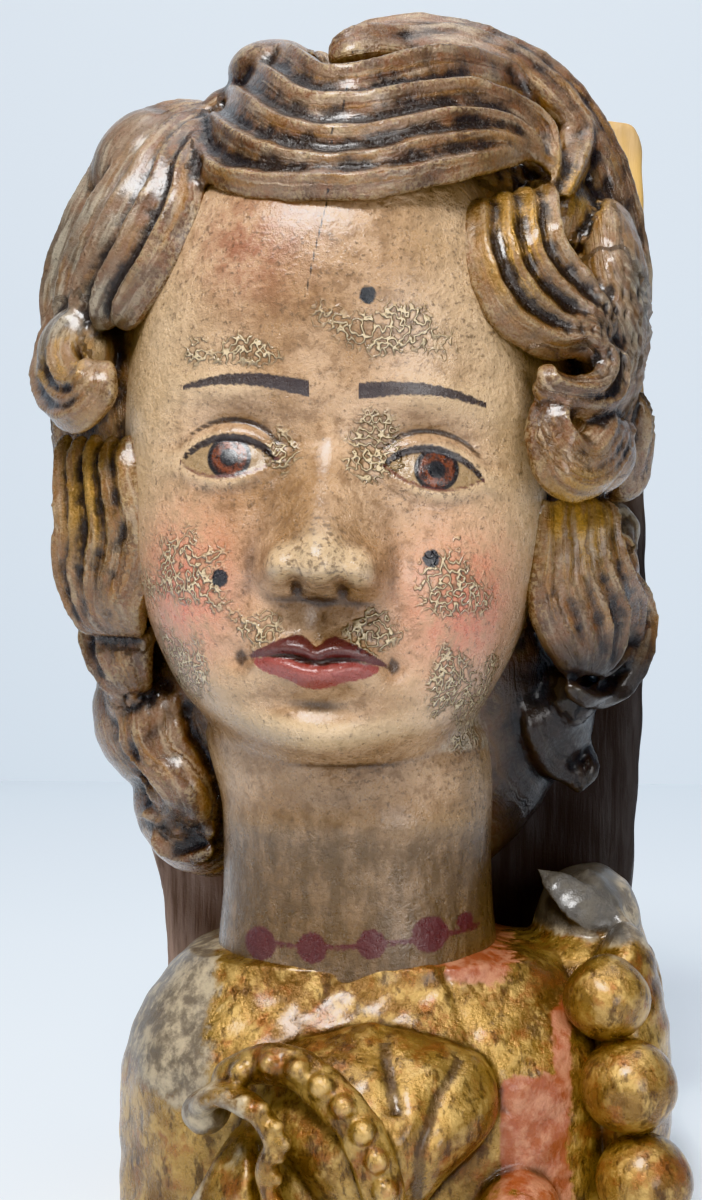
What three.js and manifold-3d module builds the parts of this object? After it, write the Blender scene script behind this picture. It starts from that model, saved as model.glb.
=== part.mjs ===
// A carved wooden cherub bust: head with waved hair, neck, draped chest with a scrolled leaf and a string of
// round fruits, all cut from one block whose plain back stands behind the head, sawn flat below.
// Millimetres, +Z up. The face looks along -Y. The origin is on the flat underside, below the neck.
import * as THREE from "three";
import { mergeVertices } from "three/addons/utils/BufferGeometryUtils.js";
import Module from "manifold-3d";

const wasm = await Module();
wasm.setup();

// The head, on the usual proportions of a young child
const HEAD_TOP = 318;
const CHIN = 123;
const HEAD_HEIGHT = HEAD_TOP - CHIN;
const FACE_HALF_WIDTH = 62;
const HEAD_SIDE = -3; // the head stands a little to the left
const WIDEST = 222; // height at which the face is widest
const EYE_LINE = CHIN + 0.45 * HEAD_HEIGHT;
const BROW_LINE = EYE_LINE + 0.1 * HEAD_HEIGHT;
const NOSE_BASE = (BROW_LINE + CHIN) / 2 + 1;
const MOUTH_LINE = NOSE_BASE - (NOSE_BASE - CHIN) / 3;
const EYE_WIDTH = (2 * FACE_HALF_WIDTH) / 4.8;
const EYE_SIDE = 1.07 * EYE_WIDTH; // eye centre from the middle of the face
const FACE_TILT = THREE.MathUtils.degToRad(3.5); // the face leans towards +X
const TILT_HEIGHT = 200;
const PROFILE = [20, 50, 57, 57, 58, 58, 57.5, 57, 58, 60, 61, 60, 57, 50, 36, 0]; // depth, chin to crown

// The neck and chest
const NECK_HALF_WIDTH = 39;
const NECK_SIDE = 2.5; // the neck stands a little to the right
const NECK_FRONT = 38;
const COLLAR = 74;
const FLESH_FOOT = 50;
const CHEST_TOP = 74;
const CHEST_LEFT = 66;
const CHEST_RIGHT = 84;
const CHEST_FRONT = 53;
const CHEST_BACK = 58;
const SHOULDER_START = 36; // where the sides of the chest begin to round over
const SHOULDER_RADIUS = 54;
const SAWN_OFF = 3; // what reaches below the underside, and is sawn away

// The block behind
const BLOCK_TOP = 328;
const BLOCK_LEFT = -68;
const BLOCK_RIGHT = 92;
const BLOCK_EDGE = 2; // softened arris
const BLOCK_FRONT = 50; // y of its front face
const BLOCK_BACK = 84; // y of the sawn back

// The rounded form that the locks of hair lie on
const HAIR = { halfWidth: 88, depth: 62, axis: 10, middle: 225, up: 113, down: 140 };

const { cos, sin, abs, sqrt, exp, PI, min, max } = Math;
const clip = (t) => min(max(t, 0), 1);
const ease = (t) => clip(t) ** 2 * (3 - 2 * clip(t));
const swell = (t, centre, spread) => exp(-(((t - centre) / spread) ** 2));
const through = (points) =>
  new THREE.CatmullRomCurve3(
    points.map((p) => new THREE.Vector3(...p)),
    false,
    "catmullrom",
  );

// A value read off evenly spaced ones, on a smooth curve
function ruler(values) {
  const curve = through(values.map((v) => [v, 0, 0]));
  return (s) => curve.getPoint(clip(s)).x;
}

// The larger of two lengths, with a soft joint
function blendUp(a, b, soft) {
  const share = clip(0.5 + (0.5 * (a - b)) / soft);
  return b + (a - b) * share + soft * share * (1 - share);
}

// Distance from the axis to a level section that is an ellipse with fuller corners
function section(turn, halfWidth, depth, power) {
  const across = (abs(sin(turn)) / max(halfWidth, 0.01)) ** power;
  const ahead = (abs(cos(turn)) / max(depth, 0.01)) ** power;
  return (across + ahead) ** (-1 / power);
}

// A closed geometry as a solid that can be joined
function solid(geometry) {
  const bare = new THREE.BufferGeometry();
  bare.setAttribute("position", geometry.getAttribute("position"));
  bare.setIndex(geometry.index);
  const merged = mergeVertices(bare, 1e-3);
  const vertProperties = Float32Array.from(merged.getAttribute("position").array);
  const triVerts = Uint32Array.from(merged.index.array);
  const made = new wasm.Manifold(new wasm.Mesh({ numProp: 3, vertProperties, triVerts }));
  if (made.volume() > 0) return made;
  triVerts.reverse();
  return new wasm.Manifold(new wasm.Mesh({ numProp: 3, vertProperties, triVerts }));
}

// A ball whose points go where place says, from their turn about the upright axis (0 in front), their fall
// from 0 at the top pole to 1 at the bottom one, and a ring that is 0 at the poles and 1 elsewhere
function shell(columns, rows, place) {
  const ball = new THREE.SphereGeometry(1, columns, rows);
  const points = ball.getAttribute("position");
  for (let i = 0; i < points.count; i++) {
    const [x, y, z] = [points.getX(i), points.getY(i), points.getZ(i)];
    const ring = abs(y) > 1 - 1e-6 ? 0 : 1;
    points.setXYZ(i, ...place(ring ? Math.atan2(x, z) : 0, Math.acos(min(1, max(-1, y))) / PI, ring));
  }
  return solid(ball);
}

function egg([x, y, z], [width, depth, height], columns, rows) {
  return shell(columns, rows, (turn, fall) => [
    x + width * sin(PI * fall) * sin(turn),
    y - depth * sin(PI * fall) * cos(turn),
    z + height * cos(PI * fall),
  ]);
}

// The face. Each relief is in millimetres towards -Y, at a place across and up the face.

function eyeRelief(x, z) {
  const across = (abs(x) - EYE_SIDE) / (EYE_WIDTH / 2);
  const arch = max(0, 1 - across ** 2);
  const socket = -6 * swell(across, -0.25, 1.35) * swell(z, EYE_LINE + 3, 12);
  const ball = 6.5 * swell(across, 0, 1.05) * swell(z, EYE_LINE, 8.5);
  const lid = 1.6 * swell(across, 0, 1) * swell(z, EYE_LINE + 7 * arch, 2.4);
  const crease = -1.6 * swell(across, 0, 1.1) * swell(z, EYE_LINE + 4 + 7 * arch, 2.2);
  return socket + ball + lid + crease;
}

function noseRelief(x, z) {
  const rise = (BROW_LINE - 7 - z) / (BROW_LINE - 7 - NOSE_BASE);
  const height = 18.5 * ease(rise * 0.98) ** 0.85 * ease((z - NOSE_BASE + 3.5) / 8);
  const halfWidth = 8 + 5.5 * ease(rise * 1.1 - 0.1);
  const bridge = height * exp(-((abs(x) / halfWidth) ** 2.4));
  const tip = 3.4 * swell(x, 0, 8.5) * swell(z, NOSE_BASE + 9.5, 7.5);
  const wings = 7.5 * swell(abs(x), 12, 4.4) * swell(z, NOSE_BASE + 6.5, 5.8);
  return bridge + tip + wings;
}

function mouthRelief(x, z) {
  const parting = MOUTH_LINE - 0.8 * swell(x, 0, 4.5) + 0.7 * swell(abs(x), 9, 4.5) - 1.2 * (x / 19) ** 2;
  const body = max(0, 1 - (x / 19.5) ** 2);
  const muzzle = 3.6 * swell(x, 0, 22) * swell(z, MOUTH_LINE, 17);
  const upper = 3.4 * sqrt(body) * swell(z, parting + 2.4, 3);
  const lower = 3.8 * sqrt(body) * swell(z, parting - 3.5, 3.7) * swell(x, 0, 16);
  const crease = -2.8 * sqrt(body) * swell(z, parting, 1.8);
  const corners = -2.2 * swell(abs(x), 20, 3.5) * swell(z, MOUTH_LINE - 1, 3.2);
  return muzzle + upper + lower + crease + corners;
}

function faceRelief(x, z) {
  const brow = 2.2 * swell(abs(x), 24, 17) * swell(z, BROW_LINE - 1, 6);
  const cheeks = 4.2 * swell(abs(x), 33, 17) * swell(z, NOSE_BASE + 2, 20);
  const chin = 5 * swell(x, 0, 14) * swell(z, CHIN + 12, 9);
  const underLip = -3.2 * swell(x, 0, 15) * swell(z, MOUTH_LINE - 12.5, 4.2);
  return brow + cheeks + chin + underLip + eyeRelief(x, z) + noseRelief(x, z) + mouthRelief(x, z);
}

function headHalfWidth(z) {
  if (z > WIDEST) return FACE_HALF_WIDTH * sqrt(max(0, 1 - ((z - WIDEST) / (HEAD_TOP - WIDEST)) ** 2));
  const fall = min(1, (WIDEST - z) / (WIDEST - CHIN));
  return FACE_HALF_WIDTH * (1 - fall ** 2.3) ** (1 / 2.1);
}

const profileAt = ruler(PROFILE);

// Head and neck in one: level sections of both, joined softly, with the face raised in front
function flesh() {
  const columns = 34;
  const rows = 36;
  const cap = 2 / rows; // share of the rows that close the foot, inside the chest
  return shell(columns, rows, (turn, fall, ring) => {
    const angle = turn - 0.8 * sin(turn) + 0.06 * sin(2 * turn); // more columns in front
    const foot = clip((1 - fall) / cap) * ring;
    const rise = clip((1 - fall - cap) / (1 - cap));
    const share = rise + 0.12 * sin(2 * PI * rise) + 0.02 * sin(4 * PI * rise); // more rows on the face
    const z = FLESH_FOOT + (HEAD_TOP - FLESH_FOOT) * share;
    const depth = profileAt((z - CHIN) / HEAD_HEIGHT) * clip((z - CHIN + 4) / 12) ** 0.6;
    const head = section(angle, headHalfWidth(z), depth, 2.35);
    const bulge = 1 + 0.04 * swell(z, COLLAR, 12) + 0.05 * swell(z, CHIN + 10, 14);
    const neck = section(angle, NECK_HALF_WIDTH * bulge, NECK_FRONT * bulge, 2.2);
    const reach = blendUp(head, neck * sqrt(clip((CHIN + 48 - z) / 34)), 5);
    const x = reach * sin(angle);
    const across = x * cos(FACE_TILT) - (z - TILT_HEIGHT) * sin(FACE_TILT);
    const up = TILT_HEIGHT + (z - TILT_HEIGHT) * cos(FACE_TILT) + x * sin(FACE_TILT);
    const ahead = ease(cos(angle) * 2.2);
    const neckFold = 1.1 * swell(z, CHIN - 11, 4.5);
    const raised = ahead * (faceRelief(across, up) * clip((z - CHIN + 6) / 8) + neckFold);
    const side = NECK_SIDE + (HEAD_SIDE - NECK_SIDE) * ease((z - CHIN + 10) / 40);
    return [(x + side) * foot, (-reach * cos(angle) - raised) * foot, z];
  });
}

// The hair. A strand follows a path of places across, up and in front of the rounded form.

function hairForm(x, z) {
  const rise = z > HAIR.middle ? (z - HAIR.middle) / HAIR.up : (HAIR.middle - z) / HAIR.down;
  return HAIR.axis - HAIR.depth * sqrt(max(0, 1 - (x / HAIR.halfWidth) ** 2 - rise ** 2));
}

const END_SHARE = 0.35; // how full a lock is at its ends
const UNDERSIDE = 1.2; // depth of a lock below its grooves, as a share of its ridges' height
const SPINE = { y: 20, top: 250 }; // the ridges of a lock stand away from this upright line in the head

// How much of each of the two or three guide paths goes into a strand, for t from 0 to 1 across the lock
function guideShares(count, t) {
  if (count === 2) return [1 - t, t];
  return [(1 - t) * (1 - 2 * t), 4 * t * (1 - t), t * (2 * t - 1)];
}

// A lock of strands side by side, spread evenly from the first guide path to the last: one closed band with
// a ridge along each strand and a groove between each two
function lock({ guides, strands, halfWidth, thickness }) {
  const curves = guides.map(through);
  const widthAt = ruler(halfWidth);
  const thicknessAt = ruler(thickness);
  const sides = 2 * strands + 2;
  const rows = guides[0].length + 4;

  // The middle of a strand, counted from 0, at s from 0 to 1 along the lock
  const core = (k, s) => {
    const shares = guideShares(guides.length, k / (strands - 1));
    const mixed = new THREE.Vector3();
    curves.forEach((curve, g) => mixed.addScaledVector(curve.getPoint(s), shares[g]));
    const [x, z, lift] = mixed.toArray();
    return new THREE.Vector3(x, hairForm(x, z) - lift, z);
  };

  return shell(sides, rows, (turn, fall, ring) => {
    const s = clip((fall * rows - 1) / (rows - 2));
    const size = s === 0 || s === 1 ? END_SHARE : 1;
    const column = ring ? Math.round((turn / (2 * PI)) * sides + sides) % sides : sides - 1;
    const place = core(min(max((column - 1) / 2, 0), strands - 1), s);
    const outward = place.clone().sub(new THREE.Vector3(0, SPINE.y, min(place.z, SPINE.top))).normalize();
    const crest = thicknessAt(s) * size;
    if (column === sides - 1) {
      place.copy(core((strands - 1) / 2, s)).addScaledVector(outward, -UNDERSIDE * crest * ring);
    } else if (column === 0 || column === sides - 2) {
      const next = core(column ? strands - 2 : 1, s);
      place.addScaledVector(place.clone().sub(next).normalize(), widthAt(s) * size);
    } else if (column % 2) {
      place.addScaledVector(outward, crest);
    } else {
      const gap = core(column / 2, s).distanceTo(core(column / 2 - 1, s)) / 2;
      place.addScaledVector(outward, crest * max(0, 1 - (gap / widthAt(s)) ** 1.15));
    }
    return place.toArray();
  });
}

// Each lock: its guide paths of [across, up, in front of the rounded form], its number of strands, and their
// half width and thickness along the way
const LOCKS = {
  fringe: {
    guides: [
      [
        [-40, 303, 0], [-34, 292, 8], [-24, 287, 12], [-9, 285, 14], [8, 285, 15], [25, 289, 14],
        [39, 294, 11], [52, 299, 4],
      ],
      [
        [-36, 326, -9], [-27, 313, 3], [-16, 302, 10], [-2, 297, 13], [14, 299, 13], [29, 304, 12],
        [46, 305, 9], [57, 297, 5],
      ],
      [
        [-24, 340, -13], [-15, 327, 1], [-3, 315, 8], [12, 318, 9], [28, 324, 8], [48, 325, 6],
        [66, 312, 4], [62, 287, 7],
      ],
    ],
    strands: 5,
    halfWidth: [6, 8, 8.5, 8, 5.5],
    thickness: [7, 8.5, 9, 8, 6],
  },
  crown: {
    guides: [
      [
        [-6, 330, -3], [3, 334, 4], [16, 336, 6], [31, 337, 6], [48, 331, 5], [64, 317, 4],
        [73, 296, 2], [78, 274, 1],
      ],
      [
        [-8, 338, -8], [6, 342, -2], [23, 342, 0], [42, 337, 0], [61, 326, -1], [76, 304, -2],
        [83, 278, -2], [87, 256, -2],
      ],
    ],
    strands: 2,
    halfWidth: [6, 9, 9, 8, 6],
    thickness: [6, 8, 8, 7, 6],
  },
  leftTemple: {
    guides: [
      [[-37, 310, -6], [-42, 295, 4], [-44, 281, 5], [-50, 268, 4], [-57, 259, 1], [-63, 251, -2]],
      [[-42, 325, -8], [-59, 318, -1], [-72, 303, 0], [-81, 285, 1], [-87, 268, 0], [-88, 250, 1]],
    ],
    strands: 5,
    halfWidth: [5, 6.5, 7, 6],
    thickness: [5, 7, 8, 6],
  },
  leftCurl: {
    guides: [
      [[-87, 260, 1], [-90, 247, 6], [-86, 234, 9], [-75, 226, 11], [-66, 231, 10], [-65, 242, 7]],
      [[-75, 257, 4], [-79, 250, 8], [-79, 242, 11], [-75, 236, 12], [-70, 236, 12], [-69, 242, 9]],
    ],
    strands: 3,
    halfWidth: [5.5, 6.5, 4.5],
    thickness: [6, 6.5, 5],
  },
  leftMiddle: {
    guides: [
      [[-61, 222, -8], [-59, 208, -6], [-56, 194, -8], [-58, 182, -9], [-61, 174, -8], [-60, 164, -14]],
      [[-82, 224, -5], [-81, 209, -3], [-80, 196, -1], [-80, 184, 0], [-77, 174, -1], [-72, 164, -4]],
    ],
    strands: 5,
    halfWidth: [4, 5, 5.5, 4],
    thickness: [5, 6, 7, 5],
  },
  leftKnot: {
    guides: [
      [[-55, 170, -28], [-60, 163, -18], [-60, 156, -17], [-60, 148, -20]],
      [[-78, 170, -5], [-75, 160, -5], [-70, 151, -7], [-65, 146, -14]],
    ],
    strands: 4,
    halfWidth: [3.5, 4.5, 3],
    thickness: [4, 5, 3],
  },
  leftFoot: {
    guides: [
      [
        [-52, 150, -28], [-51, 135, -18], [-47, 128, -17], [-45, 123, -15], [-43, 117, -15],
        [-42, 110, -14], [-44, 103, -8],
      ],
      [
        [-61, 150, -22], [-60, 136, -11], [-57, 130, -9], [-51, 124, -8], [-47, 118, -8],
        [-47, 113, -8], [-52, 108, -3],
      ],
      [
        [-71, 150, -14], [-70, 137, -2], [-68, 130, -1], [-61, 124, -1], [-56, 118, 0], [-56, 113, 1],
        [-64, 110, 0],
      ],
    ],
    strands: 5,
    halfWidth: [3.5, 4, 4.5, 3],
    thickness: [4, 5, 5, 3],
  },
  leftFan: {
    guides: [
      [[-54, 112, -5], [-51, 110, -6], [-46, 110, -9], [-40, 113, -16]],
      [[-60, 105, -1], [-56, 101, -1], [-48, 98, 0], [-40, 101, 0]],
    ],
    strands: 3,
    halfWidth: [2.5, 3, 2.5],
    thickness: [3, 4, 3],
  },
  rightTemple: {
    guides: [
      [[38, 286, 0], [37, 272, 4], [40, 260, 6], [46, 251, 4], [56, 246, 2], [65, 246, 5], [70, 240, 4]],
      [[57, 292, 1], [56, 281, 5], [57, 272, 6], [61, 266, 4], [66, 260, 4], [70, 254, 4], [74, 247, 2]],
    ],
    strands: 4,
    halfWidth: [5, 5, 6, 6, 5],
    thickness: [5, 6.5, 7, 7, 6],
  },
  rightScroll: {
    guides: [
      [[66, 247, 6], [72, 243, 8], [71, 235, 9], [64, 232, 9], [57, 234, 8], [55, 239, 4]],
      [[70, 246, 4], [76, 241, 6], [74, 231, 7], [65, 228, 7], [57, 230, 6], [53, 235, 2]],
    ],
    strands: 2,
    halfWidth: [4, 4.5, 3.5],
    thickness: [4.5, 5, 4],
  },
  rightCurl: {
    guides: [
      [[60, 230, 3], [58, 224, 7], [61, 218, 9], [65, 215, 9], [70, 219, 8], [74, 227, 5]],
      [[54, 230, 1], [54, 218, 4], [57, 209, 7], [64, 206, 8], [73, 211, 5], [81, 226, -2]],
    ],
    strands: 4,
    halfWidth: [4, 5, 5, 4],
    thickness: [5, 6, 6, 5],
  },
  rightMiddle: {
    guides: [
      [[56, 204, -16], [56, 190, -13], [55, 179, -12], [58, 168, -9], [62, 160, -7], [65, 154, -8]],
      [[74, 204, -6], [74, 193, -2], [77, 183, 1], [81, 174, 2], [79, 163, 4], [73, 152, 4]],
    ],
    strands: 5,
    halfWidth: [4, 4.5, 5, 4],
    thickness: [5, 6, 7, 5],
  },
  rightRim: {
    guides: [
      [[86, 173, -1], [84, 160, 2], [77, 150, 3], [69, 147, 2], [62, 151, -4]],
      [[82, 184, -2], [87, 171, 0], [85, 158, 3], [79, 148, 5], [70, 144, 2]],
    ],
    strands: 2,
    halfWidth: [3, 4, 3],
    thickness: [4, 5, 3.5],
  },
  rightFoot: {
    guides: [
      [[50, 150, -30], [54, 136, -20], [58, 127, -15], [66, 121, -4], [69, 117, -3]],
      [[62, 149, -24], [65, 138, -14], [69, 131, -8], [72, 125, -4], [70, 119, -4]],
    ],
    strands: 3,
    halfWidth: [3, 3.5, 2],
    thickness: [3.5, 4, 2],
  },
};

// The rounded masses under the locks: centres and half sizes
const HAIR_MASSES = [
  [[-77, -12, 245], [13, 15, 15]],
  [[-55, 22, 141], [25, 22, 26]],
  [[-44, 24, 116], [24, 20, 26]],
  [[75, 1, 258], [13, 27, 34]],
  [[69, -12, 217], [14, 15, 13]],
  [[57, 24, 144], [17, 24, 25]],
  [[-22, 8, 331], [15, 20, 10]],
];

// The body of the hair, under the locks: a dome in front, then waves that run straight back into the block.
// Its rings, from the front: their share of full size, and how far back they are
const BACK_WAVES = 16;
const TROUGH = 0.91; // share of full size between the waves
const BODY_RINGS = [[0, -40], [0.51, -33], [0.79, -16], [1, 10], [1, 33], [1, 56], [0, 56]];

function hairBody() {
  const last = BODY_RINGS.length - 1;
  return shell(2 * BACK_WAVES, last, (turn, fall) => {
    const [size, y] = BODY_RINGS[Math.round(fall * last)];
    const wave = cos(BACK_WAVES * turn) < 0 && size === 1 ? TROUGH : 1;
    const swing = turn + 0.06 * sin(y * 0.1);
    const up = cos(swing) > 0 ? HAIR.up - 1 : HAIR.down - 6;
    return [size * wave * (HAIR.halfWidth - 1) * sin(swing), y, HAIR.middle + size * wave * up * cos(swing)];
  });
}

function hair() {
  const masses = HAIR_MASSES.map(([centre, size]) => egg(centre, size, 7, 5));
  return [hairBody(), ...masses, ...Object.values(LOCKS).map(lock)];
}

// The draped chest, in level sections from the underside to the shoulders
function chest() {
  const rows = 10;
  const cap = 1 / rows;
  return shell(40, rows, (turn, fall, ring) => {
    const rise = 1 - clip((fall - cap) / (1 - 2 * cap));
    const z = CHEST_TOP * rise + 7 * (1 - clip(fall / cap)) - SAWN_OFF * (1 - rise);
    const rounding = sqrt(max(0, 1 - (max(z - SHOULDER_START, 0) / SHOULDER_RADIUS) ** 2));
    const wide = (sin(turn) > 0 ? CHEST_RIGHT : CHEST_LEFT) * max(rounding, 0.6);
    const ahead = cos(turn) > 0 ? CHEST_FRONT * (1 - 0.26 * ease((z - 44) / 30)) : CHEST_BACK;
    const folds = 1.6 * sin(turn * 9 + z * 0.07) * ease(abs(turn) - 0.7) * ease(cos(turn) * 3);
    const reach = (section(turn, wide, ahead, 2.3) + folds) * ring;
    return [reach * sin(turn), -reach * cos(turn), z];
  });
}

// The hood of the leaf: level sections with a soft groove along each rib, from its top down to its foot
const HOOD = { x: 9, y: -50.3, top: 62.5, foot: -4 };
const HOOD_WIDTHS = [0, 27, 33, 33, 27, 19, 13, 11, 0];
const HOOD_DEPTHS = [0, 14, 22, 27, 28, 26, 23, 20, 0];
const BEADS = 11;
const FAN_RIBS = 4;
const BEAD_LINE = [
  [-31, -60, 44], [-28, -65, 51], [-19, -69, 55], [-10, -73, 55], [-3, -76, 51], [4, -79, 45],
  [9, -80, 37], [12, -80, 28], [14, -79, 17], [14, -75, 5],
];
const LIP_LINE = [
  [-38, -62, 40], [-31, -71, 47], [-24, -75, 47], [-18, -77, 43], [-15, -77, 37], [-17, -76, 31],
  [-16, -74, 21], [-15, -71, 8],
];

function hood() {
  const widthAt = ruler(HOOD_WIDTHS);
  const depthAt = ruler(HOOD_DEPTHS);
  return shell(20, 14, (turn, fall, ring) => {
    const z = HOOD.top + (HOOD.foot - HOOD.top) * fall;
    const reach = section(turn, widthAt(fall), depthAt(fall), 2) * ring;
    return [HOOD.x + reach * sin(turn), HOOD.y - reach * cos(turn), z];
  });
}

const BLUNT = 0.14; // share of a band that closes at each end
const ROLL_SIDES = 6;

function bluntEnds(fall) {
  const near = clip(min(fall, 1 - fall) / BLUNT);
  return sqrt(1 - (1 - near) ** 2);
}

// A closed rounded band along a path of real places, with its thickness towards facing
function roll(points, halfWidth, thickness, facing = [0, -1, 0]) {
  const curve = through(points);
  const widthAt = ruler(halfWidth);
  const thicknessAt = ruler(thickness);
  return shell(ROLL_SIDES, points.length + 3, (turn, fall, ring) => {
    const core = curve.getPoint(fall);
    const way = curve.getTangent(fall);
    const side = way.clone().cross(new THREE.Vector3(...facing)).normalize();
    const outward = side.clone().cross(way);
    const size = bluntEnds(fall) * ring;
    core.addScaledVector(side, widthAt(fall) * size * sin(turn));
    core.addScaledVector(outward, thicknessAt(fall) * size * cos(turn));
    return [core.x, core.y, core.z];
  });
}

// The leaf: its hood, its beaded rib, the lip that curls forward, and the fan below it
function leaf() {
  const pieces = [hood(), egg([-10, -52.4, 28], [17, 14, 25], 9, 6), egg([48, -48, 9], [12, 16, 13], 9, 6)];
  pieces.push(roll(BEAD_LINE, [3, 5.5, 6, 6, 5], [3, 4, 4, 4, 4]));
  const line = through(BEAD_LINE);
  for (let k = 0; k < BEADS; k++) {
    const { x, y, z } = line.getPoint((k + 0.7) / BEADS);
    pieces.push(egg([x + 1, y - 4.3, z + 0.5], [3.3, 3.3, 3.3], 6, 4));
  }
  pieces.push(roll(LIP_LINE, [3.5, 3, 3], [5, 6, 5]), egg([-34, -62, 41], [6.5, 9, 6], 8, 6));
  for (let k = 0; k < FAN_RIBS; k++) {
    const root = [-26 + k, -54 - 2 * k, 35];
    const middle = [-32 + 3 * k, -60 - 2 * k, 20];
    const foot = [-45 + 8 * k, -50 - 5 * k, -2];
    pieces.push(roll([root, middle, foot], [2, 4, 6], [4, 6, 7]));
  }
  return pieces;
}

// The fold of drapery over the right shoulder: a turned-down flap and the ridge beside it
const SHOULDER_FLAP = [[53, 6, 97], [60, 1, 93], [68, -3, 87], [77, -5, 80]];
const SHOULDER_RIDGE = [[69, 10, 97], [75, 2, 89], [80, -4, 80], [85, -6, 74], [88, -6, 63], [90, -6, 48]];
const SHOULDER_MASSES = [
  [[70, 16, 58], [23, 36, 25]],
  [[71, 20, 79], [16, 26, 17]],
  [[79, -16, 38], [13, 21, 46]],
];

function shoulder() {
  return [
    ...SHOULDER_MASSES.map(([centre, size]) => egg(centre, size, 10, 7)),
    roll(SHOULDER_FLAP, [1, 5.5, 7, 4], [1, 1.5, 1.5, 1], [0.1, -1, 0.5]),
    roll(SHOULDER_RIDGE, [2, 3, 3], [3, 3, 3], [0.5, -0.8, 0]),
  ];
}

// The string of round fruits down the right side: centres and radii
const FRUITS = [[72.6, -34.3, 66.4, 11.9], [78, -38, 43, 13.2], [82, -40, 18, 13.4]];

function fruits() {
  return FRUITS.map(([x, y, z, radius]) => egg([x, y, z], [radius, radius, 0.98 * radius], 12, 8));
}

// The uncarved back of the block, cut in low on the left
function block() {
  const outline = new THREE.Shape([
    [BLOCK_LEFT + 8, -SAWN_OFF], [BLOCK_RIGHT - 6, -SAWN_OFF], [BLOCK_RIGHT - 4, 80], [BLOCK_RIGHT, 190],
    [BLOCK_RIGHT - 1, BLOCK_TOP - 9], [BLOCK_RIGHT - 4, BLOCK_TOP - 2], [BLOCK_RIGHT - 11, BLOCK_TOP],
    [BLOCK_LEFT + 9, BLOCK_TOP], [BLOCK_LEFT + 2, BLOCK_TOP - 3], [BLOCK_LEFT, BLOCK_TOP - 9],
    [BLOCK_LEFT, 100], [BLOCK_LEFT + 5, 78],
  ].map(([x, z]) => new THREE.Vector2(x, z)));
  const slab = new THREE.ExtrudeGeometry(outline, {
    depth: BLOCK_BACK - BLOCK_FRONT - 2 * BLOCK_EDGE,
    bevelSize: BLOCK_EDGE,
    bevelOffset: -BLOCK_EDGE,
    bevelThickness: BLOCK_EDGE,
    bevelSegments: 1,
  });
  return solid(slab.translate(0, 0, BLOCK_EDGE).rotateX(PI / 2).translate(0, BLOCK_BACK, 0));
}

// Everything in one, sawn flat below
function bust() {
  const pieces = [flesh(), ...hair(), chest(), ...leaf(), ...shoulder(), ...fruits(), block()];
  const joined = pieces.reduce((sum, piece) => sum.add(piece));
  const waste = 1000;
  const below = solid(new THREE.BoxGeometry(waste, waste, waste).translate(0, 0, -waste / 2));
  return joined.subtract(below);
}

function meshOf(made, name, material) {
  const { vertProperties, triVerts } = made.getMesh();
  const geometry = new THREE.BufferGeometry();
  geometry.setAttribute("position", new THREE.BufferAttribute(vertProperties, 3));
  geometry.setIndex(new THREE.BufferAttribute(triVerts, 1));
  const mesh = new THREE.Mesh(geometry, material);
  mesh.name = name;
  return mesh;
}

const paintedWood = new THREE.MeshStandardMaterial({ color: 0x9a7442, roughness: 0.38, metalness: 0.1 });

const group = new THREE.Group();
group.add(meshOf(bust(), "cherub_bust", paintedWood));

export default group;
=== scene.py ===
"""The finish of a carved, gessoed, painted and gilded wooden cherub bust.

The forms are worked out in millimetres from the same named sizes as the CAD part and turned to metres
when a piece is finished. The face looks along -Y and +Z is up.
"""
import math

import bmesh
import bpy
import numpy as np
from mathutils import Matrix, Vector, kdtree


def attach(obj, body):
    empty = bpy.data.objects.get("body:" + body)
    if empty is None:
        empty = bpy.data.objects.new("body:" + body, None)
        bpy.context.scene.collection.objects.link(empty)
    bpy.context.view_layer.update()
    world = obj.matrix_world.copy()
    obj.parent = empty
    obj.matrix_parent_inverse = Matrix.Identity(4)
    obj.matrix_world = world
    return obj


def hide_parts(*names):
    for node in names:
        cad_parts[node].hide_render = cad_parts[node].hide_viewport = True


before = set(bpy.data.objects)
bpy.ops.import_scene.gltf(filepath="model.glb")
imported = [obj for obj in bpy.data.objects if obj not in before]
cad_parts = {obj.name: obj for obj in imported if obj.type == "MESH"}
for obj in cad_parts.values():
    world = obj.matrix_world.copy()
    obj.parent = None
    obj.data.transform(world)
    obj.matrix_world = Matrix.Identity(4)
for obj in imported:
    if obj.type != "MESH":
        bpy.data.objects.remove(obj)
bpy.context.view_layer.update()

MM = 0.001

# The head, on the usual proportions of a young child
HEAD_TOP = 318
CHIN = 123
HEAD_HEIGHT = HEAD_TOP - CHIN
FACE_HALF_WIDTH = 62
HEAD_SIDE = -3
WIDEST = 222
EYE_LINE = CHIN + 0.45 * HEAD_HEIGHT
BROW_LINE = EYE_LINE + 0.1 * HEAD_HEIGHT
NOSE_BASE = (BROW_LINE + CHIN) / 2 + 1
MOUTH_LINE = NOSE_BASE - (NOSE_BASE - CHIN) / 3
EYE_WIDTH = 2 * FACE_HALF_WIDTH / 4.8
EYE_SIDE = 1.07 * EYE_WIDTH
FACE_TILT = math.radians(3.5)
TILT_HEIGHT = 200
PROFILE = [20, 50, 57, 57, 58, 58, 57.5, 57, 58, 60, 61, 60, 57, 50, 36, 0]

# The neck and chest
NECK_HALF_WIDTH = 39
NECK_SIDE = 2.5
NECK_FRONT = 38
COLLAR = 74

# The block behind
BLOCK_TOP = 328
BLOCK_LEFT = -68
BLOCK_RIGHT = 92
BLOCK_FRONT = 50
BLOCK_BACK = 84

# The rounded form that the locks of hair lie on
HAIR_HALF_WIDTH = 88
HAIR_DEPTH = 62
HAIR_AXIS = 10
HAIR_MIDDLE = 225
HAIR_UP = 113
HAIR_DOWN = 140

# The middle of the hood of the leaf, across and forward
HOOD_CENTRE = (9, -50)


def swell(value, centre, spread):
    return np.exp(-(((value - centre) / spread) ** 2))


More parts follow.
